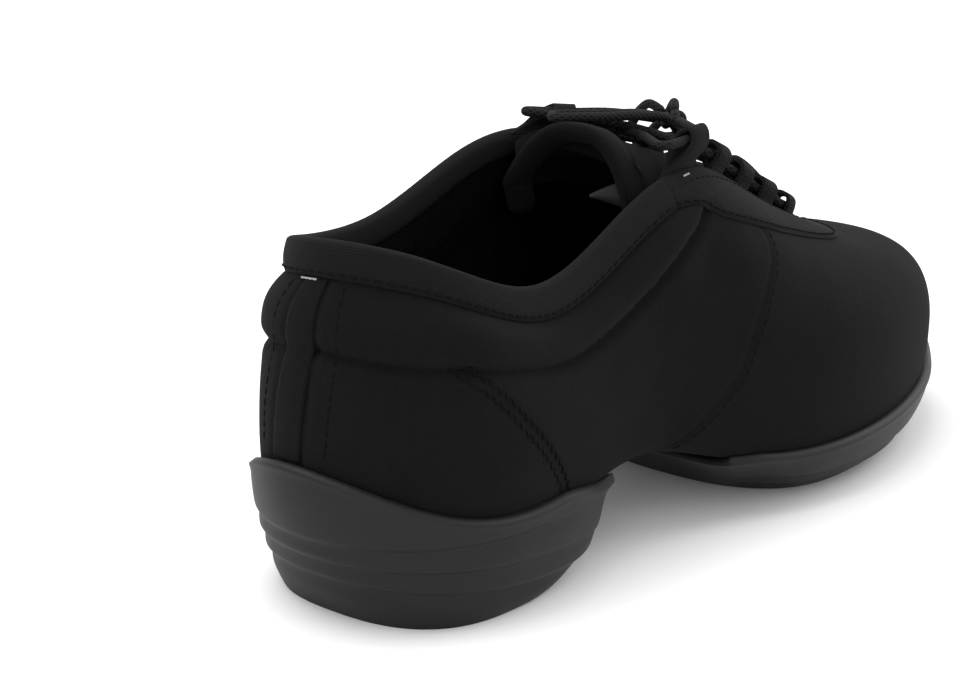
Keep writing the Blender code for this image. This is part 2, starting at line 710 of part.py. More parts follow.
def tongue():
    """Padded tongue: tucked under the throat's edges, standing free behind the corners."""
    loops = []
    base_tip = TONGUE_CREST[-1][0]
    for place in sorted({*ring_places(COLLAR_END, TOE - 1), base_tip}, reverse=True):
        crest_share = np.interp(place, *zip(*TONGUE_CREST))
        sides = []
        bound = 1 - smooth(COLLAR_END, COLLAR_END + .8, place)
        clear = 2 * SEAT_GAP + (BINDING_THICKNESS + SEAT_GAP) * bound
        for side_place in (place, ROUND - place):
            sides.append([inside_edge(side_place, down * TONGUE_TUCK, clear)[0]
                          for down in (1.0, .5, -.12)])
        outer_side, inner_side = sides[0][-1], sides[1][-1]
        crest = mix(outer_side, inner_side, .5)
        crest[1] = 0
        crest[2] = crest_share * INSTEP_HEIGHT
        thin = mix(.5, 1, smooth(base_tip, COLLAR_END, place))
        loops.append(arch_section(outer_side, inner_side, crest, TONGUE_THICKNESS * thin,
                                  sides[0][:2], sides[1][:2]))
    root = np.array([TONGUE_ROOT, 0, -.36 * TONGUE_ROOT])
    loops.insert(0, [point + root for point in loops[0]])
    half = BALL_WIDTH / 2
    for number, (crest_along, crest_up, side_along, side_out, side_up) in enumerate(TONGUE_FREE):
        crest = np.array([crest_along * LENGTH - HEEL_FLAT_AT, 0, crest_up * INSTEP_HEIGHT])
        sides = []
        for sign in (-1, 1):
            side = np.array([side_along * LENGTH - HEEL_FLAT_AT, sign * side_out * half,
                             side_up * INSTEP_HEIGHT])
            deep = side - np.array([0, -sign * .0005, TONGUE_TUCK])
            sides.append((side, [deep, mix(deep, side, .5)]))
        thin = 1 if number < len(TONGUE_FREE) - 1 else .55
        loops.append(arch_section(sides[0][0], sides[1][0], crest, TONGUE_THICKNESS * thin,
                                  sides[0][1], sides[1][1]))
    return sweep("tongue", LINING, loops)


def unit(vector):
    """The vector at length 1."""
    return vector / np.linalg.norm(vector)


def loop_frame(number, inner):
    """Where a lace loop sits on the throat's edge, and its directions ahead, up and across."""
    place = ROUND - LOOP_PLACES[number] if inner else LOOP_PLACES[number]
    middle = -WALL / 2
    seat = below_edge(place, -LOOP_SEAT, middle)[0]
    ahead = unit(below_edge(place + .04, 0, middle)[0] - below_edge(place - .04, 0, middle)[0])
    if inner:
        ahead = -ahead
    onward = unit(below_edge(place, 0, middle)[0] - below_edge(place, .002, middle)[0])
    face = unit(below_edge(place, 0, .001)[0] - below_edge(place, 0)[0])
    upward = unit(onward + face)
    upward = unit(upward - np.dot(upward, ahead) * ahead)
    across = np.cross(ahead, upward) * (-1 if inner else 1)
    if number == 0:
        upward = upward + TAB_FORWARD * ahead
    return seat, ahead, unit(upward), across


def loop_height(number):
    """Height of a lace loop above the throat's edge."""
    return TAB_HEIGHT if number == 0 else LOOP_HEIGHT


def lace_loop(number, inner):
    """A band of webbing folded over into a loop that stands on the throat's edge."""
    seat, ahead, upward, across = loop_frame(number, inner)
    height = loop_height(number)
    base = TAB_BASE if number == 0 else LOOP_WIDTH
    half_mouth = LOOP_MOUTH / 2
    crown = (1.0, .0, .90, .0)
    path = [(*row[:2], *row[2:]) for row in LOOP_OUTLINE] + [crown]
    path += [(up, -half, hole_up, -hole) for up, half, hole_up, hole in LOOP_OUTLINE[::-1]]
    loops = []
    for up, half, hole_up, hole in path:
        section = []
        for share, out in ((up, half), (hole_up, hole)):
            width = mix(base, LOOP_WIDTH, min(1, share * 1.3))
            point = seat + upward * share * height + across * out * half_mouth
            section.append([point + ahead * width / 2, point - ahead * width / 2])
        loops.append(section[0] + section[1][::-1])
    side = "inner" if inner else "outer"
    label = "top_tab" if number == 0 else "lace_loop"
    return sweep(f"{label}_{side}_{number}", WEBBING, loops, closed=True)


def lace_ring(number, inner):
    """Points where the lace enters, passes and leaves a loop, from the toe's side back."""
    seat, ahead, upward, _ = loop_frame(number, inner)
    middle = seat + upward * LACE_UP * loop_height(number)
    last = number == len(LOOP_PLACES) - 1
    reach = ahead * (LOOP_WIDTH / 2 + (.6 if last else .2) * LACE_DIAMETER)
    return [middle + reach, middle, middle - reach]


def crest_height(x):
    """Height of the tongue's crest under the lacing."""
    stations = []
    for place, height in TONGUE_CREST[::-1]:
        sides = below_edge([place, ROUND - place], 0)
        stations.append((sides[:, 0].mean(), height * INSTEP_HEIGHT))
    spots = np.array(sorted(stations))
    return np.interp(x, spots[:, 0], spots[:, 1])


def crossing(number, inner, lift):
    """Middle of the strand that crosses to a loop from the row in front, over the tongue."""
    start, end = lace_ring(number + 1, not inner)[-1], entry_ring(number, inner)[0]
    middle = mix(start, end, .5 if number else .22)
    middle[1] = 0
    over = crest_height(middle[0]) + LACE_DIAMETER / 2 + LACE_CLEAR
    middle[2] = max(middle[2], over) + lift
    return middle


def entry_ring(number, inner):
    """The points through a loop in the order in which the lace meets them."""
    ring = lace_ring(number, inner)
    if number == 0:
        ring = ring[::-1]
        ring[0] = ring[0] - loop_frame(number, inner)[1] * 2.6 * LACE_DIAMETER
    return ring


def knot_middle():
    """Middle of the knot, on top of the second row's crossing."""
    under = max((crossing(1, inner, LACE_LIFT) for inner in (False, True)),
                key=lambda point: point[2])
    return under + np.array([0, 0, LACE_DIAMETER / 2 + SEAT_GAP + KNOT_HEIGHT / 2])


def leave_knot(offset):
    """Where a cord in this direction from the knot's middle starts, just clear of the knot."""
    offset = np.array(offset)
    half = np.array([KNOT_LENGTH, KNOT_WIDTH, KNOT_HEIGHT]) / 2
    return knot_middle() + offset / np.linalg.norm(offset / half) + unit(offset) * KNOT_CLEAR


def smooth_line(points, spacing):
    """A soft curve through the points, as points about a spacing apart."""
    points = np.array(points)
    steps = np.diff(points, axis=0)
    spans = np.linalg.norm(steps, axis=1)[:, None]
    pace = steps / spans
    slope = np.vstack([pace[:1], (pace[:-1] * spans[1:] + pace[1:] * spans[:-1])
                       / (spans[1:] + spans[:-1]), pace[-1:]])
    line = [points[0]]
    for start, end, leave, arrive, span in zip(points, points[1:], slope, slope[1:],
                                               spans[:, 0]):
        count = max(1, round(float(span) / spacing))
        for share in np.linspace(0, 1, count + 1)[1:]:
            line.append((1 + 2 * share) * (1 - share) ** 2 * start
                        + share * (1 - share) ** 2 * span * leave
                        + share ** 2 * (3 - 2 * share) * end
                        + share ** 2 * (share - 1) * span * arrive)
    return line


def tube(name, points):
    """A round cord along the points, as a mesh with welded ends."""
    curve = bpy.data.curves.new(name, "CURVE")
    curve.dimensions = "3D"
    curve.bevel_depth = LACE_DIAMETER / 2
    curve.bevel_resolution = 2
    curve.use_fill_caps = True
    spline = curve.splines.new("POLY")
    spline.points.add(len(points) - 1)
    for spot, point in zip(spline.points, points):
        spot.co = (*point, 1)
    guide = bpy.data.objects.new(name + "_guide", curve)
    collection().objects.link(guide)
    depsgraph = bpy.context.evaluated_depsgraph_get()
    mesh = bpy.data.meshes.new_from_object(guide.evaluated_get(depsgraph))
    bpy.data.objects.remove(guide)
    clean = bmesh.new()
    clean.from_mesh(mesh)
    bmesh.ops.remove_doubles(clean, verts=clean.verts, dist=.000001)
    clean.to_mesh(mesh)
    clean.free()
    mesh.materials.clear()
    mesh.materials.append(material(*CORD))
    mesh.shade_smooth()
    thing = bpy.data.objects.new(name, mesh)
    collection().objects.link(thing)
    return thing


def lace_half(first_inner, lift):
    """One end's route: the front bar, then loop by loop from side to side up to the knot."""
    last = len(LOOP_PLACES) - 1
    inner = first_inner
    bar = mix(lace_ring(last, False)[0], lace_ring(last, True)[0], .5)
    toward = 1 if first_inner else -1
    start = bar + np.array([LACE_DIAMETER, -toward * LACE_DIAMETER / 2, 0])
    route = [start] + lace_ring(last, inner)
    for number in range(last - 1, -1, -1):
        inner = not inner
        route += [crossing(number, inner, lift)] + entry_ring(number, inner)
    side = 1 if inner else -1
    end = leave_knot((-.0045, side * .0040, .0010))
    route.append(mix(route[-1], end, .5) + np.array([0, 0, LACE_CLEAR]))
    route.append(end)
    return route


def lace_crossings():
    """The laced part of the cord: bar and crossings through the loops, joined into one."""
    halves = []
    for first_inner, lift in ((False, 0), (True, LACE_LIFT)):
        line = smooth_line(lace_half(first_inner, lift), LACE_STEP)
        halves.append(tube(f"lace_half_{int(first_inner)}", line))
    whole, second = halves
    join = whole.modifiers.new("join", "BOOLEAN")
    join.operation = "UNION"
    join.object = second
    depsgraph = bpy.context.evaluated_depsgraph_get()
    mesh = bpy.data.meshes.new_from_object(whole.evaluated_get(depsgraph))
    for half in halves:
        bpy.data.objects.remove(half)
    thing = bpy.data.objects.new("lace_crossings", mesh)
    collection().objects.link(thing)
    return thing


def lace_knot():
    """The knot on top of the lacing."""
    ball = bmesh.new()
    bmesh.ops.create_uvsphere(ball, u_segments=10, v_segments=6, radius=.5)
    for corner in ball.verts:
        corner.co = (corner.co.x * KNOT_LENGTH, corner.co.y * KNOT_WIDTH,
                     corner.co.z * KNOT_HEIGHT)
    mesh = bpy.data.meshes.new("lace_knot")
    ball.to_mesh(mesh)
    ball.free()
    mesh.materials.append(material(*CORD))
    mesh.shade_smooth()
    thing = bpy.data.objects.new("lace_knot", mesh)
    thing.location = knot_middle()
    collection().objects.link(thing)
    return thing


def clear_scene():
    """Removes what the scene starts with."""
    for thing in list(bpy.data.objects):
        bpy.data.objects.remove(thing)


def main():
    clear_scene()
    upper()
    sole("heel_sole", ring_places(-HEEL_FRONT, HEEL_FRONT), int(HEEL_FRONT * STEPS), 0.0,
         HEEL_FLAT_LENGTH, HEEL_FLAT_WIDTH, HEEL_GROOVES, HEEL_FULLNESS)
    sole("forefoot_sole", ring_places(BALL_REAR, ROUND - BALL_REAR), int(BALL_REAR * STEPS),
         BALL_FLAT_AT - HEEL_FLAT_AT, BALL_FLAT_LENGTH, BALL_FLAT_WIDTH, BALL_GROOVES,
         BALL_FULLNESS)
    insole()
    collar_binding()
    eyestay()
    heel_strip()
    tongue()
    for number in range(len(LOOP_PLACES)):
        for inner in (False, True):
            lace_loop(number, inner)
    lace_crossings()
    lace_knot()
    for name, offsets in FREE_CORDS.items():
        points = [knot_middle() + np.array(offset) for offset in offsets]
        points[0] = leave_knot(offsets[0])
        if name.startswith("bow_loop"):
            points[-1] = leave_knot(offsets[-1])
        tube(name, smooth_line(points, LACE_STEP))


if __name__ == "__main__":
    main()
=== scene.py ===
"""Dance sneaker, right shoe: the looks of its upper, soles, tongue and lacing.

Laid out as an add-on whose operators build one piece or group of pieces each.
"""

from functools import cache
from math import cos, pi, radians, sin

import bpy
import numpy as np
from mathutils import Matrix, Vector


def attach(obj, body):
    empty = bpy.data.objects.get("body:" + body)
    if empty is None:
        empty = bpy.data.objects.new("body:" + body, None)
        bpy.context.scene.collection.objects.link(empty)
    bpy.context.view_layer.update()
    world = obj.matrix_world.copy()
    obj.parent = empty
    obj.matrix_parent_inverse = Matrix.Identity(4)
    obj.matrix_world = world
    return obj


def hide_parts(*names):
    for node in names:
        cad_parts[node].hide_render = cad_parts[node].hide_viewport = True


bl_info = {
    "name": "Dance Sneaker",
    "version": (1, 0, 0),
    "blender": (4, 5, 0),
    "location": "View3D > Sidebar > Sneaker",
    "description": "Builds the looks of a split-sole dance sneaker",
    "category": "Add Mesh",
}

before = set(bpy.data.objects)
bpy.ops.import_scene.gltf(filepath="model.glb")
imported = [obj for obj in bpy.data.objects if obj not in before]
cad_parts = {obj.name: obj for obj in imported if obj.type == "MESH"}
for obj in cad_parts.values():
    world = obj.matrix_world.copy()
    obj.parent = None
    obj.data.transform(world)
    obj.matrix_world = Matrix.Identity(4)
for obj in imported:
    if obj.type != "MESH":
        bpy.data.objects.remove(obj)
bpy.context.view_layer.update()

# Driving sizes in metres, the same as the solids'
LENGTH = 0.258
BALL_WIDTH = 0.093
HEEL_WIDTH = 0.066
COLLAR_HEIGHT = 0.085
INSTEP_HEIGHT = 0.089
HEEL_LIFT = 0.025
BALL_LIFT = 0.011
ARCH_SAG = 0.0015
HEEL_FLAT_AT = 0.16 * LENGTH

# Walls and clearances
WALL = 0.0022
SEAT_GAP = 0.0003
PAD_OUT = 0.0028
PAD_IN = 0.0018
COLLAR_DEPTH = 0.0175
BINDING_WIDTH = 0.0065
BINDING_THICKNESS = 0.001

# Soles
CUP_RISE = 0.013
CUP_WALL = 0.0022
GROOVE_WIDTH = 0.0016
HEEL_FLAT_LENGTH = 0.056
HEEL_FLAT_WIDTH = 0.058
BALL_FLAT_LENGTH = 0.062
BALL_FLAT_WIDTH = 0.070
BALL_FLAT_AT = 0.665 * LENGTH
# How full each hull is below its rim, at its back and at its front: 0 slants, 1 is square
HEEL_FULLNESS = (.20, .75)
BALL_FULLNESS = (.15, .65)

# Lacing
LACE_DIAMETER = 0.0024
LACE_CLEAR = 0.0007
LACE_LIFT = 0.8 * LACE_DIAMETER
LOOP_WIDTH = 0.006
LOOP_HEIGHT = 0.0086
LOOP_SEAT = 0.0014
LOOP_MOUTH = 0.0042
TAB_HEIGHT = 0.0150
# How far each top tab leans towards the toe, for one up
TAB_FORWARD = 0.55
INNER_TAB_FORWARD = 1.5
KNOT_LENGTH = 0.0095
KNOT_WIDTH = 0.0085
KNOT_HEIGHT = 0.0062
KNOT_CLEAR = 0.0007

# The upper's sections, a row for each column, from the heel round the outer
# side to the toe and back along the inner side. Lengths are shares: along and edge_along of
# LENGTH; side, swell and edge_side of half the width (HEEL_WIDTH where front is 0, BALL_WIDTH
# where it is 1); lift of HEEL_LIFT or BALL_LIFT; edge_up of COLLAR_HEIGHT or INSTEP_HEIGHT;
# cup of CUP_RISE. Belly, rise and reach are shares of the column's own height or span, and
# lean is the wall's angle at its top edge in degrees.
SECTION_COLUMNS = ("front", "along", "side", "lift", "swell", "belly", "edge_along",
                   "edge_side", "edge_up", "rise", "lean", "reach", "cup")

SECTIONS = {
    "heel":          (0.0, .023, .00, 1.00, .15, .33, .031, .00, 1.00, .58, 95, .40, 1.00),
    "heel_outer":    (0.0, .085, -.73, .86, .15, .36, .081, -.59, .96, .60, 88, .38, .50),
    "quarter_outer": (0.0, .225, -.85, .78, .15, .36, .209, -.73, .83, .50, 84, .36, .52),
    "waist_outer":   (0.5, .380, -.62, 1.22, .18, .28, .341, -.58, .94, .42, 68, .36, .25),
    "instep_outer":  (1.0, .508, -.73, 1.23, .14, .25, .453, -.47, .99, .42, 48, .38, .30),
    "ball_outer":    (1.0, .628, -.86, 1.00, .12, .31, .570, -.37, .865, .45, 33, .38, .40),
    "toe_outer":     (1.0, .787, -.72, 1.05, .11, .33, .667, -.33, .744, .52, 22, .42, .42),
    "corner_outer":  (1.0, .900, -.43, 1.23, .11, .33, .713, -.20, .700, .60, 16, .50, .38),
    "toe":           (1.0, .970, .06, 1.36, .12, .33, .728, .00, .688, .64, 12, .55, .55),
    "corner_inner":  (1.0, .950, .52, 1.27, .11, .33, .713, .20, .700, .62, 15, .50, .40),
    "toe_inner":     (1.0, .822, .81, 1.05, .11, .33, .667, .33, .748, .55, 20, .42, .42),
    "ball_inner":    (1.0, .682, .90, 1.00, .12, .31, .570, .37, .880, .45, 33, .38, .40),
    "instep_inner":  (1.0, .531, .69, 1.25, .13, .25, .446, .47, 1.03, .42, 48, .38, .30),
    "waist_inner":   (0.5, .380, .58, 1.27, .15, .28, .337, .68, 1.03, .42, 68, .36, .25),
    "quarter_inner": (0.0, .228, .79, .80, .15, .36, .205, .82, .92, .50, 84, .36, .52),
    "heel_inner":    (0.0, .085, .71, .86, .14, .36, .078, .59, .95, .60, 86, .38, .50),
}
ROUND = len(SECTIONS)
# Places round the foot, to both sides from the heel: ends of the soles and of the collar
HEEL_FRONT = 2.5
BALL_REAR = 3.5
COLLAR_END = 3.5

# Crest of the tongue under the lacing: column place, height as a share of INSTEP_HEIGHT
TONGUE_CREST = ((3.5, 1.085), (4.0, 1.045), (4.5, .99), (5.0, .94), (5.5, .893), (6.0, .835),
                (6.5, .765), (7.0, .69), (7.4, .655))

# Places of the lace loops on the throat's edge, from the top tab down to the toe
LOOP_PLACES = (3.80, 4.44, 4.98, 5.42, 6.20)

# Outline of a lace loop, half of it: share of its height and half thickness of its outside,
# the same of its hole; half thicknesses are shares of half the mouth
LOOP_OUTLINE = (
    # outer_up, outer_half, hole_up, hole_half
    (.00, .30, .30, .08),
    (.22, .58, .40, .32),
    (.45, 1.12, .52, .80),
    (.66, 1.45, .66, 1.00),
    (.84, 1.20, .78, .72),
    (.95, .70, .85, .36),
)
# Share of a loop's height at which the lace runs through it
LACE_UP = .58

# Free cords on top, as given points: forward, inward and up from the knot's middle,
# in metres. A first or last point near the knot gives the direction in which the cord leaves it.
FREE_CORDS = {
    "bow_loop_rear": ((-.0058, -.0016, .0030), (-.0105, -.0018, .0056), (-.0160, -.0016, .0076),
                      (-.0240, -.0010, .0092), (-.0345, .0010, .0103), (-.0455, .0036, .0117),
                      (-.0505, .0072, .0117), (-.0465, .0104, .0111), (-.0345, .0062, .0101),
                      (-.0240, .0030, .0090), (-.0160, .0024, .0074), (-.0105, .0023, .0054),
                      (-.0060, .0020, .0028)),
    "bow_loop_inner": ((.0013, .0050, .0019), (.0023, .0093, .0036), (.0050, .0140, .0020),
                       (.0090, .0195, -.0025), (.0125, .0255, -.0085), (.0165, .0288, -.0135),
                       (.0202, .0265, -.0120), (.0190, .0200, -.0056), (.0145, .0125, -.0006),
                       (.0080, .0058, .0036), (.0042, .0030, .0019)),
    "lace_end_rear": ((-.0014, .0053, .0000), (-.0018, .0104, .0006), (-.0010, .0155, -.0004),
                      (-.0004, .0210, -.0040), (.0000, .0268, -.0096), (.0004, .0315, -.0160)),
    "lace_end_front": ((.0048, .0013, -.0023), (.0086, .0034, -.0040), (.0120, .0085, -.0066),
                       (.0146, .0140, -.0082), (.0169, .0198, -.0112),
                       (.0192, .0250, -.0161), (.0207, .0290, -.0216)),
}


def mix(first, second, share):
    """A value the given share of the way from first to second."""
    return first + (second - first) * share


def smooth(low, high, value):
    """A soft step from 0 at low to 1 at high."""
    share = np.clip((value - low) / (high - low), 0, 1)
    return share * share * (3 - 2 * share)


def real_sections():
    """The sections in metres, one row each in the order of the table."""
    rows = []
    for values in SECTIONS.values():
        row = dict(zip(SECTION_COLUMNS, values))
        half = mix(HEEL_WIDTH, BALL_WIDTH, row["front"]) / 2
        lift = mix(HEEL_LIFT, BALL_LIFT, row["front"])
        height = mix(COLLAR_HEIGHT, INSTEP_HEIGHT, row["front"])
        rows.append((row["along"] * LENGTH - HEEL_FLAT_AT, row["side"] * half,
                     row["lift"] * lift, row["swell"] * half, row["belly"],
                     row["edge_along"] * LENGTH - HEEL_FLAT_AT, row["edge_side"] * half,
                     row["edge_up"] * height, row["rise"], radians(row["lean"]),
                     row["reach"], row["cup"] * CUP_RISE))
    return np.array(rows)


SPOTS = real_sections()


def section_values(place):
    """The table's values at places round the foot, on a smooth closed curve through its rows."""
    ring = np.vstack([SPOTS, SPOTS[:1]])
    run = np.hypot(np.diff(ring[:, 0]), np.diff(ring[:, 1]))
    slope = np.diff(ring, axis=0) / run[:, None]
    system = np.zeros((ROUND, ROUND))
    target = np.zeros((ROUND, ring.shape[1]))
    for row in range(ROUND):
        before, after = run[row - 1], run[row]
        system[row, row - 1] += after
        system[row, row] += 2 * (before + after)
        system[row, (row + 1) % ROUND] += before
        target[row] = 3 * (after * slope[row - 1] + before * slope[row])
    tangent = np.linalg.solve(system, target)
    tangent = np.vstack([tangent, tangent[:1]])
    place = np.mod(np.asarray(place, float), ROUND)
    row = np.minimum(place.astype(int), ROUND - 1)
    share = (place - row)[:, None]
    length = run[row][:, None]
    return ((1 + 2 * share) * (1 - share) ** 2 * ring[row]
            + share * (1 - share) ** 2 * length * tangent[row]
            + share ** 2 * (3 - 2 * share) * ring[row + 1]
            + share ** 2 * (share - 1) * length * tangent[row + 1])


def bezier(first, second, third, last, share):
    """Points on a cubic curve; the controls are arrays of points."""
    share = share[None, :, None]
    first, second, third, last = (each[:, None, :] for each in (first, second, third, last))
    return ((1 - share) ** 3 * first + 3 * share * (1 - share) ** 2 * second
            + 3 * share ** 2 * (1 - share) * third + share ** 3 * last)


def columns(place):
    """The columns at the given places, each a fine line of points from feather to top edge."""
    place = np.asarray(place, float)
    (x, y, z, swell, belly, edge_x, edge_y, edge_z, rise, lean, reach, _) = section_values(place).T
    ahead = section_values(place + .02)[:, :2]
    behind = section_values(place - .02)[:, :2]
    heading = ahead - behind
    heading /= np.linalg.norm(heading, axis=1)[:, None]
    out = np.stack([heading[:, 1], -heading[:, 0], 0 * x], axis=1)
    up = np.array([[0, 0, 1.0]])
    feather = np.stack([x, y, z], axis=1)
    edge = np.stack([edge_x, edge_y, edge_z], axis=1)
    widest = feather + out * swell[:, None]
    widest[:, 2] = mix(z, edge_z, belly)
    turn = radians(15)
    low = bezier(feather, feather + (out * cos(turn) + up * sin(turn)) * (.9 * swell)[:, None],
                 widest - up * (.6 * (widest[:, 2] - z))[:, None], widest, np.linspace(0, 1, 13))
    away = widest - edge
    away[:, 2] = 0
    away += out * .04 * LENGTH
    away /= np.linalg.norm(away, axis=1)[:, None]
    span = np.linalg.norm(widest - edge, axis=1)
    handle = (away * np.cos(lean)[:, None] - up * np.sin(lean)[:, None]) * (reach * span)[:, None]
    high = bezier(widest, widest + up * (rise * (edge_z - widest[:, 2]))[:, None],
                  edge + handle, edge, np.linspace(0, 1, 45))
    return np.concatenate([low, high[:, 1:]], axis=1)


def lengths(lines):
    """The length along each column up to each of its points."""
    steps = np.linalg.norm(np.diff(lines, axis=1), axis=2)
    return np.concatenate([np.zeros((len(lines), 1)), np.cumsum(steps, axis=1)], axis=1)


def along(lines, run, distance):
    """The point of each column at a distance from its feather; past the edge it runs straight."""
    points = np.empty((len(lines), 3))
    for row, (line, lengths_here, wanted) in enumerate(zip(lines, run, distance)):
        for axis in range(3):
            points[row, axis] = np.interp(wanted, lengths_here, line[:, axis])
        if wanted > lengths_here[-1]:
            tangent = line[-1] - line[-4]
            points[row] += tangent / np.linalg.norm(tangent) * (wanted - lengths_here[-1])
    return points


def pad_weight(place):
    """How much of the collar's padding is left: whole at the heel, none at the throat."""
    round_place = np.minimum(np.mod(place, ROUND), ROUND - np.mod(place, ROUND))
    return 1 - smooth(3.2, 4.3, round_place)


# The collar's lower seam, the counter's and the vamp's seams on the outer side: place round
# the foot, and distance below the top edge in millimetres. The inner side mirrors them.
COLLAR_SEAM = ((0.0, 21.6), (.25, 22.4), (.50, 23.0), (.80, 23.0), (1.2, 21.0), (1.6, 18.4),
               (1.95, 17.0), (2.3, 16.9), (2.7, 17.8), (3.0, 17.9), (3.3, 16.4), (3.62, 13.2),
               (3.80, 9.6))
COUNTER_SEAM = ((1.08, 21.8), (1.24, 24.4), (1.38, 28.0), (1.50, 31.8), (1.64, 35.8),
                (1.75, 39.8), (1.86, 45.0), (1.92, 49.0))
VAMP_SEAM = ((4.36, 9.0), (4.40, 14.0), (4.40, 19.2), (4.27, 26.0), (4.02, 34.6), (3.82, 44.5),
             (3.66, 53.0), (3.46, 57.4), (3.28, 59.6), (3.05, 61.8))

# Soft folds of the knit, from one point to another: place and millimetres below the top edge
# at both ends, then depth and half width in millimetres. A negative depth is a ridge.
CREASES = (
    # place, down, to_place, to_down, depth, width
    (2.55, 21.0, 2.15, 30.0, .25, 3.4),
    (2.90, 30.0, 2.62, 50.0, .25, 5.0),
    (3.20, 40.0, 2.95, 60.0, .22, 5.0),
    (3.80, 15.0, 3.42, 27.0, .45, 3.2),
    (4.05, 20.0, 3.85, 33.0, -.30, 4.2),
    (1.05, 27.0, .70, 38.0, .18, 4.2),
    (4.80, 24.0, 4.62, 46.0, .18, 6.0),
    (13.35, 20.0, 13.75, 31.0, .30, 3.4),
    (13.10, 24.0, 13.35, 44.0, .28, 5.0),
    (12.25, 18.0, 12.55, 30.0, .45, 3.4),
    (11.30, 24.0, 11.50, 46.0, .18, 6.0),
    (14.95, 27.0, 15.30, 38.0, .18, 4.2),
)


def collar_depth(place):
    """Distance from the top edge down to the collar's lower seam."""
    near = np.minimum(np.mod(place, ROUND), ROUND - np.mod(place, ROUND))
    spots = np.array(COLLAR_SEAM)
    return np.interp(near, spots[:, 0], spots[:, 1]) / 1000


def pad_out(place, down):
    """The collar padding's swell on the outside, at a distance below the top edge."""
    deep = collar_depth(place)
    share = np.clip((down - BINDING_WIDTH) / (deep - BINDING_WIDTH), 0, 1)
    return PAD_OUT * pad_weight(place) * np.sin(pi * share) ** .8


def pad_in(place, down):
    """The collar padding's swell on the inside, at a distance below the top edge."""
    share = np.clip(down / (1.3 * COLLAR_DEPTH), 0, 1)
    return PAD_IN * pad_weight(place) * np.sin(pi * share) ** .8


def wall_frame(place, distance):
    """Points on the outside of the upper at a distance up from the feather, and its normals."""
    place = np.atleast_1d(np.asarray(place, float))
    distance = np.broadcast_to(np.asarray(distance, float), place.shape)
    nudge = .0004
    side_nudge = .02
    lines = columns(place)
    run = lengths(lines)
    total = run[:, -1]
    points = along(lines, run, distance)
    upward = along(lines, run, np.minimum(distance + nudge, total))
    upward = upward - along(lines, run, np.minimum(distance, total) - nudge)
    ahead, behind = columns(place + side_nudge), columns(place - side_nudge)
    ahead_run, behind_run = lengths(ahead), lengths(behind)
    share = np.minimum(distance / total, 1)
    sideways = (along(ahead, ahead_run, share * ahead_run[:, -1])
                - along(behind, behind_run, share * behind_run[:, -1]))
    normal = np.cross(sideways, upward)
    normal /= np.linalg.norm(normal, axis=1)[:, None]
    return points, normal, total


def wall_points(place, distance, out=0.0):
    """Points on the outside of the upper, out from it by a distance, padding included."""
    place = np.atleast_1d(np.asarray(place, float))
    points, normal, total = wall_frame(place, distance)
    lift = np.asarray(out) + pad_out(place, total - distance)
    return points + normal * lift[..., None]


def column_lengths(place):
    """The whole length of each column."""
    return lengths(columns(np.atleast_1d(np.asarray(place, float))))[:, -1]


def below_edge(place, down, out=0.0):
    """Points at a distance down from the top edge, on the outside or out from it."""
    return wall_points(place, column_lengths(place) - down, out)


def inside_edge(place, down, inward):
    """Points on the inside of the upper near its top edge, moved further inward."""
    place = np.atleast_1d(np.asarray(place, float))
    depth = WALL + pad_in(place, down) + pad_out(place, down) + inward
    return below_edge(place, down, -depth)


def rim_distance(place):
    """How far up its column each place has the rim of the sole's cup."""
    place = np.atleast_1d(np.asarray(place, float))
    values = section_values(place)
    near = np.minimum(np.mod(place, ROUND), ROUND - np.mod(place, ROUND))
    heel_end = smooth(HEEL_FRONT, HEEL_FRONT - .7, near)
    ball_end = smooth(BALL_REAR, BALL_REAR + .5, near)
    keep = .25 + .75 * np.maximum(heel_end, ball_end)
    height = values[:, 2] + values[:, 11] * keep
    lines = columns(place)
    run = lengths(lines)
    return np.array([np.interp(wanted, line[:, 2], length)
                     for wanted, line, length in zip(height, lines, run)])


def superellipse(angle, half_length, half_width, power):
    """A point on a rounded outline about the middle."""
    reach = (abs(cos(angle) / half_length) ** power
             + abs(sin(angle) / half_width) ** power) ** (-1 / power)
    return np.array([cos(angle) * reach, sin(angle) * reach])


def unit(vector):
    """The vector at length 1."""
    return vector / np.linalg.norm(vector)


@cache
def loop_frame(number, inner):
    """Where a lace loop sits on the throat's edge, and its directions ahead, up and across."""
    place = ROUND - LOOP_PLACES[number] if inner else LOOP_PLACES[number]
    middle = -WALL / 2
    seat = below_edge(place, -LOOP_SEAT, middle)[0]
    ahead = unit(below_edge(place + .04, 0, middle)[0] - below_edge(place - .04, 0, middle)[0])
    if inner:
        ahead = -ahead
    onward = unit(below_edge(place, 0, middle)[0] - below_edge(place, .002, middle)[0])
    face = unit(below_edge(place, 0, .001)[0] - below_edge(place, 0)[0])
    upward = unit(onward + face)
    upward = unit(upward - np.dot(upward, ahead) * ahead)
    across = np.cross(ahead, upward) * (-1 if inner else 1)
    if number == 0:
        upward = upward + (INNER_TAB_FORWARD if inner else TAB_FORWARD) * ahead
    return seat, ahead, unit(upward), across


def loop_height(number):
    """Height of a lace loop above the throat's edge."""
    return TAB_HEIGHT if number == 0 else LOOP_HEIGHT


def lace_ring(number, inner):
    """Points where the lace enters, passes and leaves a loop, from the toe's side back."""
    seat, ahead, upward, _ = loop_frame(number, inner)
    middle = seat + upward * LACE_UP * loop_height(number)
    last = number == len(LOOP_PLACES) - 1
    reach = ahead * (LOOP_WIDTH / 2 + (.6 if last else .2) * LACE_DIAMETER)
    return [middle + reach, middle, middle - reach]


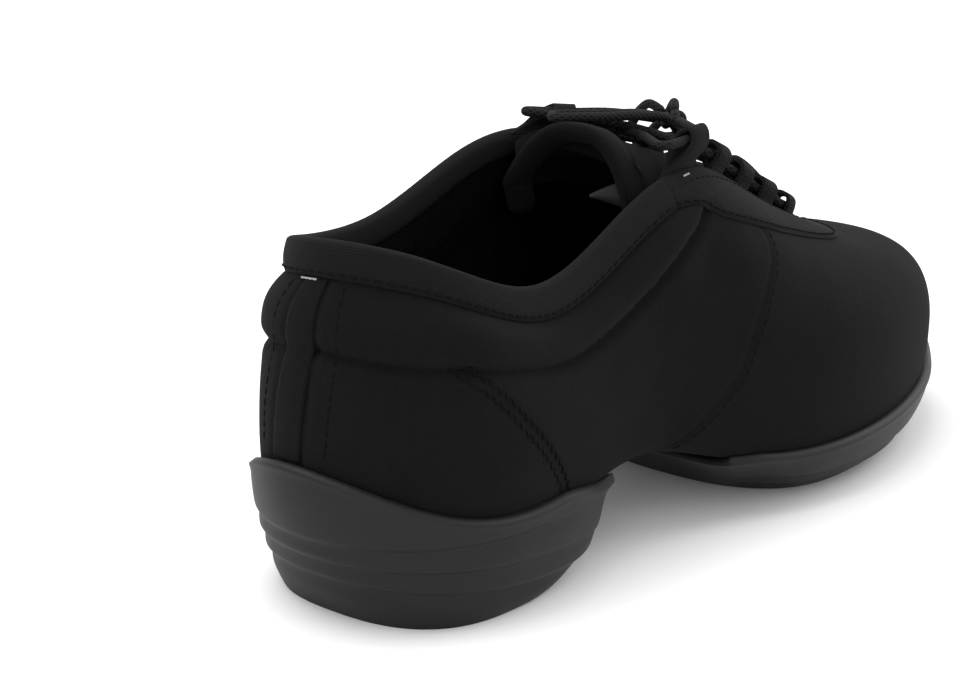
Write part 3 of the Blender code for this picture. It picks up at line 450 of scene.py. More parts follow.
def crest_height(x):
    """Height of the tongue's crest under the lacing."""
    stations = []
    for place, height in TONGUE_CREST[::-1]:
        sides = below_edge([place, ROUND - place], 0)
        stations.append((sides[:, 0].mean(), height * INSTEP_HEIGHT))
    spots = np.array(sorted(stations))
    return np.interp(x, spots[:, 0], spots[:, 1])


def crossing(number, inner, lift):
    """Middle of the strand that crosses to a loop from the row in front, over the tongue."""
    start, end = lace_ring(number + 1, not inner)[-1], entry_ring(number, inner)[0]
    middle = mix(start, end, .5 if number else .22)
    middle[1] = 0
    over = crest_height(middle[0]) + LACE_DIAMETER / 2 + LACE_CLEAR
    middle[2] = max(middle[2], over) + lift
    return middle


def entry_ring(number, inner):
    """The points through a loop in the order in which the lace meets them."""
    ring = lace_ring(number, inner)
    if number == 0:
        ring = ring[::-1]
        ring[0] = ring[0] - loop_frame(number, inner)[1] * 2.6 * LACE_DIAMETER
    return ring


@cache
def knot_middle():
    """Middle of the knot, on top of the second row's crossing."""
    under = max((crossing(1, inner, LACE_LIFT) for inner in (False, True)),
                key=lambda point: point[2])
    return under + np.array([0, 0, LACE_DIAMETER / 2 + SEAT_GAP + KNOT_HEIGHT / 2])


def leave_knot(offset):
    """Where a cord in this direction from the knot's middle starts, just clear of the knot."""
    offset = np.array(offset)
    half = np.array([KNOT_LENGTH, KNOT_WIDTH, KNOT_HEIGHT]) / 2
    return knot_middle() + offset / np.linalg.norm(offset / half) + unit(offset) * KNOT_CLEAR


def smooth_line(points, spacing):
    """A soft curve through the points, as points about a spacing apart."""
    points = np.array(points)
    steps = np.diff(points, axis=0)
    spans = np.linalg.norm(steps, axis=1)[:, None]
    pace = steps / spans
    slope = np.vstack([pace[:1], (pace[:-1] * spans[1:] + pace[1:] * spans[:-1])
                       / (spans[1:] + spans[:-1]), pace[-1:]])
    line = [points[0]]
    for start, end, leave, arrive, span in zip(points, points[1:], slope, slope[1:],
                                               spans[:, 0]):
        count = max(1, round(float(span) / spacing))
        for share in np.linspace(0, 1, count + 1)[1:]:
            line.append((1 + 2 * share) * (1 - share) ** 2 * start
                        + share * (1 - share) ** 2 * span * leave
                        + share ** 2 * (3 - 2 * share) * end
                        + share ** 2 * (share - 1) * span * arrive)
    return line


def lace_half(first_inner, lift):
    """One end's route: the front bar, then loop by loop from side to side up to the knot."""
    last = len(LOOP_PLACES) - 1
    inner = first_inner
    bar = mix(lace_ring(last, False)[0], lace_ring(last, True)[0], .5)
    toward = 1 if first_inner else -1
    start = bar + np.array([LACE_DIAMETER, -toward * LACE_DIAMETER / 2, 0])
    route = [start] + lace_ring(last, inner)
    for number in range(last - 1, -1, -1):
        inner = not inner
        route += [crossing(number, inner, lift)] + entry_ring(number, inner)
    side = 1 if inner else -1
    end = leave_knot((-.0045, side * .0040, .0010))
    route.append(mix(route[-1], end, .5) + np.array([0, 0, LACE_CLEAR]))
    route.append(end)
    return route


def seam_line(spots, inner=False, out=0.0, step=.0008):
    """A seam's points on the outside of the upper, evenly spaced, with their normals."""
    spots = np.array(spots, float)
    run = np.concatenate([[0], np.cumsum(np.hypot(np.diff(spots[:, 0]) * PLACE_SPAN,
                                                  np.diff(spots[:, 1])))])
    fine = np.linspace(0, run[-1], max(8, int(run[-1] / 1.2)))
    place = np.interp(fine, run, spots[:, 0])
    down = np.interp(fine, run, spots[:, 1]) / 1000
    if inner:
        place = ROUND - place
    points, normal, _ = wall_frame(place, column_lengths(place) - down)
    points = points + normal * (out + pad_out(place, down))[:, None]
    travelled = np.concatenate([[0], np.cumsum(np.linalg.norm(np.diff(points, axis=0),
                                                              axis=1))])
    even = np.arange(0, travelled[-1], step)
    soft = np.stack([np.interp(even, travelled, points[:, axis]) for axis in range(3)], axis=1)
    facing = np.stack([np.interp(even, travelled, normal[:, axis]) for axis in range(3)], axis=1)
    for _ in range(4):
        soft[1:-1] = (soft[:-2] + 2 * soft[1:-1] + soft[2:]) / 4
    facing /= np.linalg.norm(facing, axis=1)[:, None]
    return soft, facing


def nearest(points, line):
    """Distance from each point to a line of points, and how far along the line it is."""
    away = np.linalg.norm(points[:, None, :] - line[None, :, :], axis=2)
    index = away.argmin(axis=1)
    run = np.concatenate([[0], np.cumsum(np.linalg.norm(np.diff(line, axis=0), axis=1))])
    return away[np.arange(len(points)), index], run[index]


def crease_depth(place, down):
    """Sum of the soft folds at a place and a distance in metres below the top edge."""
    total = np.zeros(len(place))
    for first, first_down, last, last_down, depth, width in CREASES:
        start = np.array([first * PLACE_SPAN, first_down])
        end = np.array([last * PLACE_SPAN, last_down])
        spot = np.stack([place * PLACE_SPAN, down * 1000], axis=1)
        along_it = np.clip((spot - start) @ (end - start) / ((end - start) @ (end - start)), 0, 1)
        away = np.linalg.norm(spot - start - along_it[:, None] * (end - start), axis=1)
        total += depth * np.exp(-(away / width) ** 2) * np.sin(pi * (.15 + .7 * along_it))
    return total / 1000


# Seams: line, depth and half width of the dent, and height of the puckers beside it
SEAMS = ((COLLAR_SEAM, .0010, .0014, .00007),
         (COUNTER_SEAM, .00025, .0010, .00005),
         (VAMP_SEAM, .0005, .0007, .00003))
PUCKER_LENGTH = .0043
PUCKER_REACH = .0035
# Strip over the seam at the back: half its width and its run off the middle on its way down,
# as places round the foot, the arc in metres that one place takes there, the height over which
# it runs off, and the dents along its edges: distance from its middle, half width and depth
STRIP_HALF = .13
STRIP_RUN = .10
PLACE_ARC = .0218
STRIP_FALL = .040
DENT_AT = .0031
DENT_WIDTH = .0005
DENT_DEPTH = .0006
# Distance in millimetres that one place takes round the wall, for seams and folds
PLACE_SPAN = 28

SEAM_LINES = []
for seam_spots, seam_depth, seam_width, pucker in SEAMS:
    for on_inner in (False, True):
        line, _ = seam_line(seam_spots, on_inner)
        SEAM_LINES.append((line, seam_depth, seam_width, pucker))


def strip_shift(down):
    """How far round the foot the strip at the back has run off the middle on its way down."""
    return -STRIP_RUN * np.clip((down - BINDING_WIDTH) / STRIP_FALL, 0, 1)


def relief(place, down, points):
    """How far the knit stands in or out of the plain surface: seams, puckers and folds."""
    out = -crease_depth(np.mod(place, ROUND), down)
    for line, depth, width, pucker in SEAM_LINES:
        low, high = line.min(axis=0) - .008, line.max(axis=0) + .008
        near = np.all((points > low) & (points < high), axis=1)
        if not near.any():
            continue
        away, run = nearest(points[near], line)
        out[near] -= depth * np.exp(-(away / width) ** 2)
        out[near] += .15 * depth * np.exp(-((away - 2.4 * width) / (1.2 * width)) ** 2)
        out[near] += pucker * np.sin(run * 2 * pi / PUCKER_LENGTH) * np.exp(
            -(away / PUCKER_REACH) ** 2)
    # the knit pulls in along both edges of the strip at the back
    off_middle = np.mod(place + ROUND / 2, ROUND) - ROUND / 2 - strip_shift(down)
    from_back = np.abs(off_middle) * PLACE_ARC
    pull = np.exp(-((from_back - DENT_AT) / DENT_WIDTH) ** 2) * smooth(.005, .008, down)
    return out - DENT_DEPTH * pull


def deselect():
    """Nothing selected and nothing being edited."""
    if bpy.context.object and bpy.context.object.mode != "OBJECT":
        bpy.ops.object.mode_set(mode="OBJECT")
    bpy.ops.object.select_all(action="DESELECT")


def pick(thing):
    """One object selected and active."""
    deselect()
    thing.select_set(True)
    bpy.context.view_layer.objects.active = thing


def grid_of(name, points, uv=None):
    """A grid primitive whose corners are moved onto rows of points."""
    points = np.asarray(points, float)
    rows, cols = points.shape[:2]
    deselect()
    bpy.ops.mesh.primitive_grid_add(x_subdivisions=cols - 1, y_subdivisions=rows - 1, size=1)
    thing = bpy.context.object
    thing.name = name
    mesh = thing.data
    mesh.name = name
    spots = np.empty(len(mesh.vertices) * 3)
    mesh.vertices.foreach_get("co", spots)
    spots = spots.reshape(-1, 3)
    col = np.rint((spots[:, 0] + .5) * (cols - 1)).astype(int)
    row = np.rint((spots[:, 1] + .5) * (rows - 1)).astype(int)
    mesh.vertices.foreach_set("co", points[row, col].ravel())
    if uv is None:
        across = np.linalg.norm(np.diff(points, axis=1), axis=2).mean(axis=0)
        up = np.linalg.norm(np.diff(points, axis=0), axis=2).mean(axis=1)
        u = np.concatenate([[0], np.cumsum(across)])
        v = np.concatenate([[0], np.cumsum(up)])
        uv = np.stack(np.meshgrid(u, v), axis=-1)
    corner = np.empty(len(mesh.loops), np.int32)
    mesh.loops.foreach_get("vertex_index", corner)
    mesh.uv_layers.active.data.foreach_set("uv", uv[row, col][corner].ravel().astype(np.float32))
    return thing


def close_up(thing, angle=None, weld=.000002):
    """Merges doubles, turns the faces outwards and shades the piece smooth."""
    pick(thing)
    bpy.ops.object.mode_set(mode="EDIT")
    bpy.ops.mesh.select_all(action="SELECT")
    bpy.ops.mesh.remove_doubles(threshold=weld)
    bpy.ops.mesh.dissolve_degenerate(threshold=.0000005)
    bpy.ops.mesh.normals_make_consistent(inside=False)
    bpy.ops.object.mode_set(mode="OBJECT")
    if angle is None:
        bpy.ops.object.shade_smooth()
    else:
        bpy.ops.object.shade_smooth_by_angle(angle=radians(angle))
    return thing


def fill_ends(thing):
    """Closes the open ends of a swept piece."""
    pick(thing)
    bpy.ops.object.mode_set(mode="EDIT")
    bpy.ops.mesh.select_all(action="SELECT")
    bpy.ops.mesh.remove_doubles(threshold=.000002)
    bpy.ops.mesh.select_all(action="DESELECT")
    bpy.ops.mesh.select_mode(type="EDGE")
    bpy.ops.mesh.select_non_manifold(extend=False, use_wire=False, use_boundary=True,
                                     use_multi_face=False, use_non_contiguous=False,
                                     use_verts=False)
    bpy.ops.mesh.edge_face_add()
    bpy.ops.object.mode_set(mode="OBJECT")
    return thing


def add_modifier(thing, kind, **settings):
    """Adds a modifier and applies it."""
    pick(thing)
    step = thing.modifiers.new(kind.lower(), kind)
    for key, value in settings.items():
        setattr(step, key, value)
    bpy.ops.object.modifier_apply(modifier=step.name)
    return thing


def join_all(things, name):
    """Several pieces joined into one."""
    deselect()
    for thing in things:
        thing.select_set(True)
    bpy.context.view_layer.objects.active = things[0]
    bpy.ops.object.join()
    whole = bpy.context.object
    whole.name = name
    whole.data.name = name
    return whole


def dress(thing, *finishes):
    """Gives a piece its finishes and lets it ride on the shoe."""
    thing.data.materials.clear()
    for finish in finishes:
        thing.data.materials.append(finish)
    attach(thing, "root")
    return thing


def closed_sweep(name, sections, ends=True, ring=False):
    """A swept piece through closed sections; each section is a loop of points."""
    sections = np.asarray(sections, float)
    sections = np.concatenate([sections, sections[:, :1]], axis=1)
    if ring:
        sections = np.concatenate([sections, sections[:1]], axis=0)
    thing = grid_of(name, sections)
    if ends and not ring:
        fill_ends(thing)
    return close_up(thing)


def soft_copy(node, name, levels=2):
    """A merged copy of a solid, its faces paired up and rounded by subdivision."""
    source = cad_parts[node]
    thing = source.copy()
    thing.data = source.data.copy()
    thing.parent = None
    for key in list(thing.keys()):
        del thing[key]
    bpy.context.scene.collection.objects.link(thing)
    thing.name = name
    thing.data.name = name
    pick(thing)
    bpy.ops.object.mode_set(mode="EDIT")
    bpy.ops.mesh.select_all(action="SELECT")
    bpy.ops.mesh.remove_doubles(threshold=.00001)
    bpy.ops.mesh.tris_convert_to_quads(face_threshold=radians(60), shape_threshold=radians(60))
    bpy.ops.object.mode_set(mode="OBJECT")
    add_modifier(thing, "SUBSURF", levels=levels, render_levels=levels)
    return close_up(thing)


class Term:
    """A shader socket that takes part in plain arithmetic."""

    def __init__(self, tree, socket):
        self.tree = tree
        self.socket = socket

    def work(self, operation, *values):
        """A maths node on these values or sockets."""
        node = self.tree.nodes.new("ShaderNodeMath")
        node.operation = operation
        for slot, value in zip(node.inputs, values):
            if isinstance(value, Term):
                self.tree.links.new(value.socket, slot)
            else:
                slot.default_value = value
        return Term(self.tree, node.outputs[0])

    def __add__(self, other):
        return self.work("ADD", self, other)

    def __sub__(self, other):
        return self.work("SUBTRACT", self, other)

    def __rsub__(self, other):
        return self.work("SUBTRACT", other, self)

    def __mul__(self, other):
        return self.work("MULTIPLY", self, other)

    def __truediv__(self, other):
        return self.work("DIVIDE", self, other)

    def __pow__(self, other):
        return self.work("POWER", self, other)

    __radd__ = __add__
    __rmul__ = __mul__

    def clip(self):
        """The value held between 0 and 1."""
        node = self.tree.nodes.new("ShaderNodeClamp")
        self.tree.links.new(self.socket, node.inputs[0])
        return Term(self.tree, node.outputs[0])


class Finish:
    """A Principled material that is put together in steps."""

    def __init__(self, name, roughness=.8, **constants):
        self.made = bpy.data.materials.new(name)
        self.made.use_nodes = True
        self.tree = self.made.node_tree
        self.shader = self.tree.nodes["Principled BSDF"]
        self.shader.inputs["Roughness"].default_value = roughness
        for key, value in constants.items():
            self.shader.inputs[key.replace("_", " ")].default_value = value

    def make(self, kind, settings=None, values=None, output=0):
        """A node with its settings set first, then the values or links of its sockets."""
        node = self.tree.nodes.new("ShaderNode" + kind)
        for key, value in (settings or {}).items():
            setattr(node, key, value)
        for key, value in (values or {}).items():
            if isinstance(value, Term):
                self.tree.links.new(value.socket, node.inputs[key])
            else:
                node.inputs[key].default_value = value
        return Term(self.tree, node.outputs[output])

    def place(self, by_uv=False):
        """Where the surface is: its own place in metres, or its UV map in metres."""
        return self.make("TexCoord", output=2 if by_uv else 3)

    def noise(self, scale, detail=2, roughness=.5, where=None):
        """Soft noise; the scale is in waves for each metre."""
        return self.make("TexNoise", values={"Vector": where or self.place(), "Scale": scale,
                                             "Detail": detail, "Roughness": roughness})

    def ribs(self, pitch, direction="X", where=None):
        """Even ribs across one direction, a pitch in metres apart."""
        return self.make("TexWave", {"wave_type": "BANDS", "bands_direction": direction},
                         {"Vector": where or self.place(True), "Scale": 2 * pi / 20 / pitch,
                          "Distortion": 0.0, "Detail": 1.0})

    def blend(self, share, first, second):
        """A colour between two others."""
        return self.make("Mix", {"data_type": "RGBA"}, {0: share, 6: (*first, 1), 7: (*second, 1)},
                         output=2)

    def bump(self, height, distance, strength=1.0, before=None):
        """The normal that a height gives."""
        values = {"Height": height, "Distance": distance, "Strength": strength}
        if before is not None:
            values["Normal"] = before
        return self.make("Bump", values=values)

    def feed(self, socket, term):
        """Links a value into one of the shader's sockets."""
        self.tree.links.new(term.socket, self.shader.inputs[socket])

    def colour(self, share, first, second):
        """Colours the surface between two colours."""
        self.feed("Base Color", self.blend(share, first, second))


def shade(base, amount):
    """A colour made lighter or darker."""
    return tuple(channel * amount for channel in base)


def knit_finish(name, base, nap=1.0):
    """Brushed stretch knit: a soft fuzz with light specks."""
    finish = Finish(name, .95, Specular_IOR_Level=.05, Sheen_Weight=.012, Sheen_Roughness=.6)
    fuzz = finish.noise(1500 * nap, 3, .6)
    specks = finish.noise(2600 * nap, 2, .7)
    patches = finish.noise(55, 3, .55)
    light = ((specks - .42) * 2.2).clip() * .55 + patches * .5
    finish.colour(light.clip(), shade(base, .55), shade(base, 1.65))
    rough = finish.bump(fuzz, .00022, .75)
    finish.feed("Normal", finish.bump(patches, .0012, .12, rough))
    return finish.made


def rib_finish(name, base, pitch, depth, direction="X", fuzz=.35):
    """A woven or knitted tape with ribs across it, by its own UV map."""
    finish = Finish(name, .9, Specular_IOR_Level=.07, Sheen_Weight=.01, Sheen_Roughness=.6)
    ribs = finish.ribs(pitch, direction)
    other = finish.ribs(pitch * .8, "Y" if direction == "X" else "X")
    grain = finish.noise(2400, 2, .6)
    light = ribs * .6 + other * .15 + grain * .35
    finish.colour(light.clip(), shade(base, .5), shade(base, 1.6))
    height = ribs + other * .35 + grain * fuzz
    finish.feed("Normal", finish.bump(height, depth, .9))
    return finish.made


def rubber_finish(name, base):
    """Matte moulded rubber with a faint grain and dusty, slightly shinier patches."""
    finish = Finish(name, .55, Specular_IOR_Level=.22)
    grain = finish.noise(1900, 2, .5)
    dust = finish.noise(38, 4, .6)
    finish.colour(dust, shade(base, .86), shade(base, 1.16))
    finish.feed("Roughness", dust * .18 + .44)
    finish.feed("Normal", finish.bump(grain, .00006, .35))
    return finish.made


def cloth_finish(name, base, pitch=.0009):
    """Spacer mesh lining, with a net of small holes."""
    finish = Finish(name, .95, Specular_IOR_Level=.04)
    cells = finish.make("TexVoronoi", {"feature": "F1"},
                        {"Vector": finish.place(), "Scale": 1 / pitch, "Randomness": .35})
    finish.colour((cells * 1.3).clip(), shade(base, 1.4), shade(base, .35))
    finish.feed("Normal", finish.bump(1 - cells, .0003, .8))
    return finish.made


def plait_finish(name, base, pitch):
    """Braided cord: two sets of strands that cross, by its own UV map."""
    finish = Finish(name, .75, Specular_IOR_Level=.1)
    turned = finish.make("Mapping", values={"Vector": finish.place(True),
                                            "Rotation": (0, 0, radians(38))})
    back = finish.make("Mapping", values={"Vector": finish.place(True),
                                          "Rotation": (0, 0, radians(-38))})
    first = finish.ribs(pitch, "X", turned)
    second = finish.ribs(pitch, "X", back)
    strands = first.work("MAXIMUM", first, second)
    finish.colour((strands * .8 + finish.noise(2200) * .3).clip(), shade(base, .45),
                  shade(base, 1.8))
    finish.feed("Normal", finish.bump(strands, .00028, .9))
    return finish.made


def plain_finish(name, base, roughness, coat=0.0, shine=.4):
    """A smooth finish with a little unevenness."""
    finish = Finish(name, roughness, Specular_IOR_Level=shine, Coat_Weight=coat)
    haze = finish.noise(300, 3)
    finish.colour(haze, shade(base, .8), shade(base, 1.25))
    finish.feed("Roughness", haze * .15 + (roughness - .07))
    return finish.made


FINISHES = {}


def finishes():
    """The shoe's finishes, made once."""
    looks = bpy.context.scene.sneaker_looks
    if not FINISHES:
        FINISHES.update(
            knit=knit_finish("brushed_knit", looks.knit_colour, looks.nap),
            tape=rib_finish("knit_tape", shade(looks.knit_colour, 1.15), .00055, .00009),
            lining=cloth_finish("mesh_lining", shade(looks.knit_colour, .7)),
            tongue=knit_finish("tongue_knit", shade(looks.knit_colour, .9), 1.3),
            rib=rib_finish("rib_knit", shade(looks.knit_colour, 1.1), .0017, .0004),
            webbing=rib_finish("ribbed_webbing", shade(looks.knit_colour, 1.5), .0012, .0004),
            lace=plait_finish("braided_lace", looks.lace_colour, .0011),
            rubber=rubber_finish("sole_rubber", looks.rubber_colour),
            thread=plain_finish("sewing_thread", shade(looks.knit_colour, .8), .9, shine=.06),
            bartack=plain_finish("light_thread", (.30, .30, .30), .8),
            tip=plain_finish("lace_tip", (.012, .012, .012), .28, .4),
            label=plain_finish("satin_label", (.013, .013, .0135), .6, shine=.15),
        )
    return FINISHES


# Rows of the upper's outside, as shares from the feather to the top edge, closer near seams
UPPER_COLUMNS = 448
OUTER_ROWS = np.concatenate([np.linspace(0, .55, 46)[:-1], np.linspace(.55, 1, 66)])


def outer_skin(columns_round, rows, with_relief=True):
    """Points of the upper's outside in rows, from the feather to the top edge."""
    places = np.linspace(0, ROUND, columns_round + 1)
    total = column_lengths(places)
    sheets = []
    for share in rows:
        distance = total * share
        points, normal, _ = wall_frame(places, distance)
        down = total - distance
        lift = pad_out(places, down)
        if with_relief:
            lift = lift + relief(places, down, points + normal * lift[:, None])
        sheets.append(points + normal * lift[:, None])
    return np.array(sheets)


def rolled_edge(places, steps=5):
    """Rows over the top edge, from the outside round to the inside."""
    rows = []
    for turn in np.linspace(0, pi, steps + 2)[1:-1]:
        out = -WALL / 2 + WALL / 2 * cos(turn)
        rows.append(below_edge(places, -WALL / 2 * sin(turn), out))
    return rows


class ShoeOperator(bpy.types.Operator):
    """Base of the operators that build the shoe."""

    bl_options = {"REGISTER", "UNDO"}

    def execute(self, context):
        self.build(context.scene.sneaker_looks)
        return {"FINISHED"}


class SNEAKER_OT_upper(ShoeOperator):
    """Hollow knit upper with its padded collar, seams, folds and lining"""

    bl_idname = "sneaker.upper"
    bl_label = "Upper"

    def build(self, looks):
        outside = outer_skin(UPPER_COLUMNS, OUTER_ROWS)
        places = np.linspace(0, ROUND, UPPER_COLUMNS + 1)
        total = column_lengths(places)
        shell = grid_of("knit_upper", np.concatenate([outside, rolled_edge(places)]))
        inside = [below_edge(places, 0, -WALL)]
        for share in np.linspace(1, 0, 34)[1:]:
            down = total * (1 - share)
            depth = WALL + pad_in(places, down) + pad_out(places, down)
            inside.append(wall_points(places, total * share, -depth))
        lining = grid_of("inside", np.array(inside))
        half = UPPER_COLUMNS // 2
        cells = 24
        under = []
        for pair in range(half + 1):
            outer, inner = outside[0][pair], outside[0][UPPER_COLUMNS - pair]
            line = []
            width = min(1.0, np.linalg.norm(outer - inner) / HEEL_WIDTH)
            for share in np.linspace(0, 1, cells + 1):
                point = mix(outer, inner, share)
                point[2] -= ARCH_SAG * 4 * share * (1 - share) * width
                line.append(point)
            under.append(line)
        bottom = grid_of("bottom", np.array(under))
        floor_inside = []
        for pair in range(half + 1):
            outer, inner = inside[-1][pair], inside[-1][UPPER_COLUMNS - pair]
            floor_inside.append([mix(outer, inner, share)
                                 for share in np.linspace(0, 1, cells + 1)])
        floor_inside = grid_of("floor_inside", np.array(floor_inside))
        look = finishes()
        for piece, index in ((shell, 0), (bottom, 0), (lining, 1), (floor_inside, 1)):
            piece.data.materials.append(look["knit"])
            piece.data.materials.append(look["lining"])
            piece.data.polygons.foreach_set("material_index",
                                            [index] * len(piece.data.polygons))
        upper = join_all([shell, bottom, lining, floor_inside], "knit_upper")
        close_up(upper, weld=.00002)
        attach(upper, "root")
        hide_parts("upper")


# Width of the throat's band at places round the foot, in millimetres
BAND_WIDTHS = ((3.50, 6.5), (3.65, 7.5), (3.80, 9.8), (3.95, 13.2), (4.10, 15.0), (4.35, 16.4),
               (4.70, 17.0), (5.00, 16.2), (5.40, 15.2), (6.00, 14.0), (6.60, 12.4),
               (7.20, 11.0), (8.00, 10.5))


def band_width(places):
    """Width of the throat's band at places round the foot."""
    near = np.minimum(places, ROUND - places)
    spots = np.array(BAND_WIDTHS)
    return np.interp(near, spots[:, 0], spots[:, 1]) / 1000


def band_sections(places, widths, thick, lap=.0045, steps=7):
    """Closed sections of a tape over the top edge: outside, round the edge, and inside."""
    outer = []
    for share in np.linspace(1, 0, steps):
        puff = thick * (.25 if share == 1 else .75 + .35 * sin(pi * min(1, 1.15 * share)))
        outer.append(below_edge(places, widths * share, .0001 + puff))
    reach = WALL / 2 + thick
    for turn in np.linspace(.2 * pi, .8 * pi, 6):
        outer.append(below_edge(places, -reach * sin(turn) * .8, -WALL / 2 + reach * cos(turn)))
    for down in np.linspace(0, lap, 4):
        outer.append(inside_edge(places, down, thick * (.35 if down == lap else 1.0)))
    for down in (lap, .5 * lap, .0):
        outer.append(inside_edge(places, down, .00005))
    for share in np.linspace(0, 1, 4):
        outer.append(below_edge(places, widths * share, .00005))
    return np.stack(outer, axis=1)


class SNEAKER_OT_trims(ShoeOperator):
    """Tape round the collar, band round the throat and the seam at the back"""

    bl_idname = "sneaker.trims"
    bl_label = "Trims"

    def build(self, looks):
        look = finishes()
        places = np.linspace(-COLLAR_END - .01, COLLAR_END + .01, 240)
        widths = np.full(len(places), BINDING_WIDTH)
        tape = closed_sweep("collar_tape", band_sections(places, widths, BINDING_THICKNESS))
        dress(tape, look["tape"])
        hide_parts("collar_binding")
        places = np.linspace(COLLAR_END, ROUND - COLLAR_END, 260)
        widths = band_width(places)
        band = closed_sweep("throat_band", band_sections(places, widths, BINDING_THICKNESS,
                                                         lap=.003))
        dress(band, look["tape"])
        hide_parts("eyestay")
        sections = []
        total = column_lengths(0.0)[0]
        rim = rim_distance(0.0)[0]
        shape = np.array(((-1, .0001), (-.85, .00018), (-.2, .0002), (-.06, .0002),
                          (.06, .0002), (.2, .0002), (.85, .00018), (1, .0001),
                          (1, -.0004), (0, -.0004), (-1, -.0004)))
        for down in np.linspace(BINDING_WIDTH + .0004, total - rim - .0006, 60):
            sections.append(below_edge(shape[:, 0] * STRIP_HALF + strip_shift(down), down,
                                       shape[:, 1]))
        seam = closed_sweep("back_seam", sections)
        dress(seam, look["knit"])
        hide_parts("heel_strip")


# Where the forefoot sole starts round the foot
BALL_START = 3.7
# Grooves between the layers of each sole's side: depth, then height at the back and fall for
# each metre forward, and from where to where along the shoe each one fades out
LAYER_DEPTH = .0009
HEEL_LAYERS = ((.0205, 0), (.0155, .06), (.0105, .08))
HEEL_FADES = ((.000, .022), (.018, .040), (.024, .044))
BALL_LAYERS = ((.0075, 0), (.0035, 0))
BALL_FADES = ((.300, .400), (.300, .400))
# How far along its rim each sole's end is undercut to a slope
HEEL_SLOPE = .008
BALL_SLOPE = .032
# Cells across each sole's straight end, rows from rim to floor, rings across the floor, and
# the tread's height and number of ridges
END_CELLS = 26
SOLE_ROWS = 92
TREAD_RINGS = 27
TREAD_HEIGHT = .0007
TREAD_RIDGES = 9
# Lip round the rim: how far it stands out and how far down it reaches
LIP_OUT = .00035
LIP_REACH = .0011


def from_ends(points):
    """Distance along a line of points from its nearer end."""
    travel = np.concatenate([[0], np.cumsum(np.linalg.norm(np.diff(points, axis=0), axis=1))])
    return np.minimum(travel, travel[-1] - travel)


def sole_hull(places, end_pair_place, flat_at, flat_length, flat_width, fullness, front,
              slope_reach):
    """Inner lip, outer rim and the lines from the rim down to the flat, all round a sole."""
    rim = rim_distance(places)
    cup = [wall_points(places, rim * row / 4, SEAT_GAP) for row in range(5)]
    ends = []
    outer_foot = wall_points(end_pair_place, 0, SEAT_GAP)[0]
    inner_foot = wall_points(ROUND - end_pair_place, 0, SEAT_GAP)[0]
    width = min(1.0, np.linalg.norm(outer_foot - inner_foot) / HEEL_WIDTH)
    for share in np.linspace(0, 1, END_CELLS + 1)[1:-1]:
        point = mix(outer_foot, inner_foot, share)
        point[2] -= ARCH_SAG * 4 * share * (1 - share) * width
        ends.append(point)
    last_is_inner = places[-1] % ROUND > ROUND / 2
    if last_is_inner:
        ends = ends[::-1]
    lip = list(cup[4]) + [row[-1] for row in cup[3::-1]] + ends + [row[0] for row in cup[:4]]
    inner = np.array(lip)
    outer = inner.copy()
    outer[:len(places)] = wall_points(places, rim - .0006, SEAT_GAP + CUP_WALL)
    count = len(inner)
    for index in range(len(places), count):
        outer[index, 0] += front * CUP_WALL
        outer[index, 2] -= .0012
    for index in (len(places), count - 1):
        outer[index, 1] += np.sign(inner[index, 1]) * CUP_WALL * .6
    for _ in range(6):
        soft = (np.roll(outer, 1, axis=0) + 2 * outer + np.roll(outer, -1, axis=0)) / 4
        for corner in (0, len(places) - 1):
            spots = np.arange(corner - 4, corner + 5) % count
            outer[spots] = soft[spots]
    middle = np.array([flat_at, 0.0])
    floor = []
    for point in outer:
        angle = np.arctan2(point[1] - middle[1], point[0] - middle[0])
        flat = superellipse(angle, flat_length / 2, flat_width / 2, 2.6) + middle
        floor.append((flat[0], flat[1], 0.0))
    floor = np.array(floor)
    height = outer[:, 2:3]
    inset = floor - outer
    inset[:, 2] = 0
    toward_toe = (outer[:, 0] - middle[0]) / np.linalg.norm(outer[:, :2] - middle, axis=1)
    full = mix(*fullness, (1 + toward_toe) / 2)[:, None]
    stays = outer + inset * .04
    stays[:, 2:] = height * (.55 - .25 * full)
    lands = floor - inset * full
    lands[:, 2:] = .12 * height
    thin = np.ones(count)
    thin[:len(places)] = 1 - smooth(0, slope_reach, from_ends(outer[:len(places)]))
    slant = outer + inset * .30
    slant[:, 2:] = height * .72
    stays = mix(stays, slant, thin[:, None])
    slant = outer + inset * .72
    slant[:, 2:] = height * .24
    lands = mix(lands, slant, thin[:, None])
    lines = bezier(outer, stays, lands, floor, np.linspace(0, 1, 61))
    return inner, outer, lines, middle


def soft_groove(height_below):
    """Profile across a groove: a quick step in at its top, then a slow swell back out."""
    share = height_below / GROOVE_WIDTH
    return np.where(share < 0, np.exp(-(share / .45) ** 2), np.exp(-(share / 1.8) ** 2))


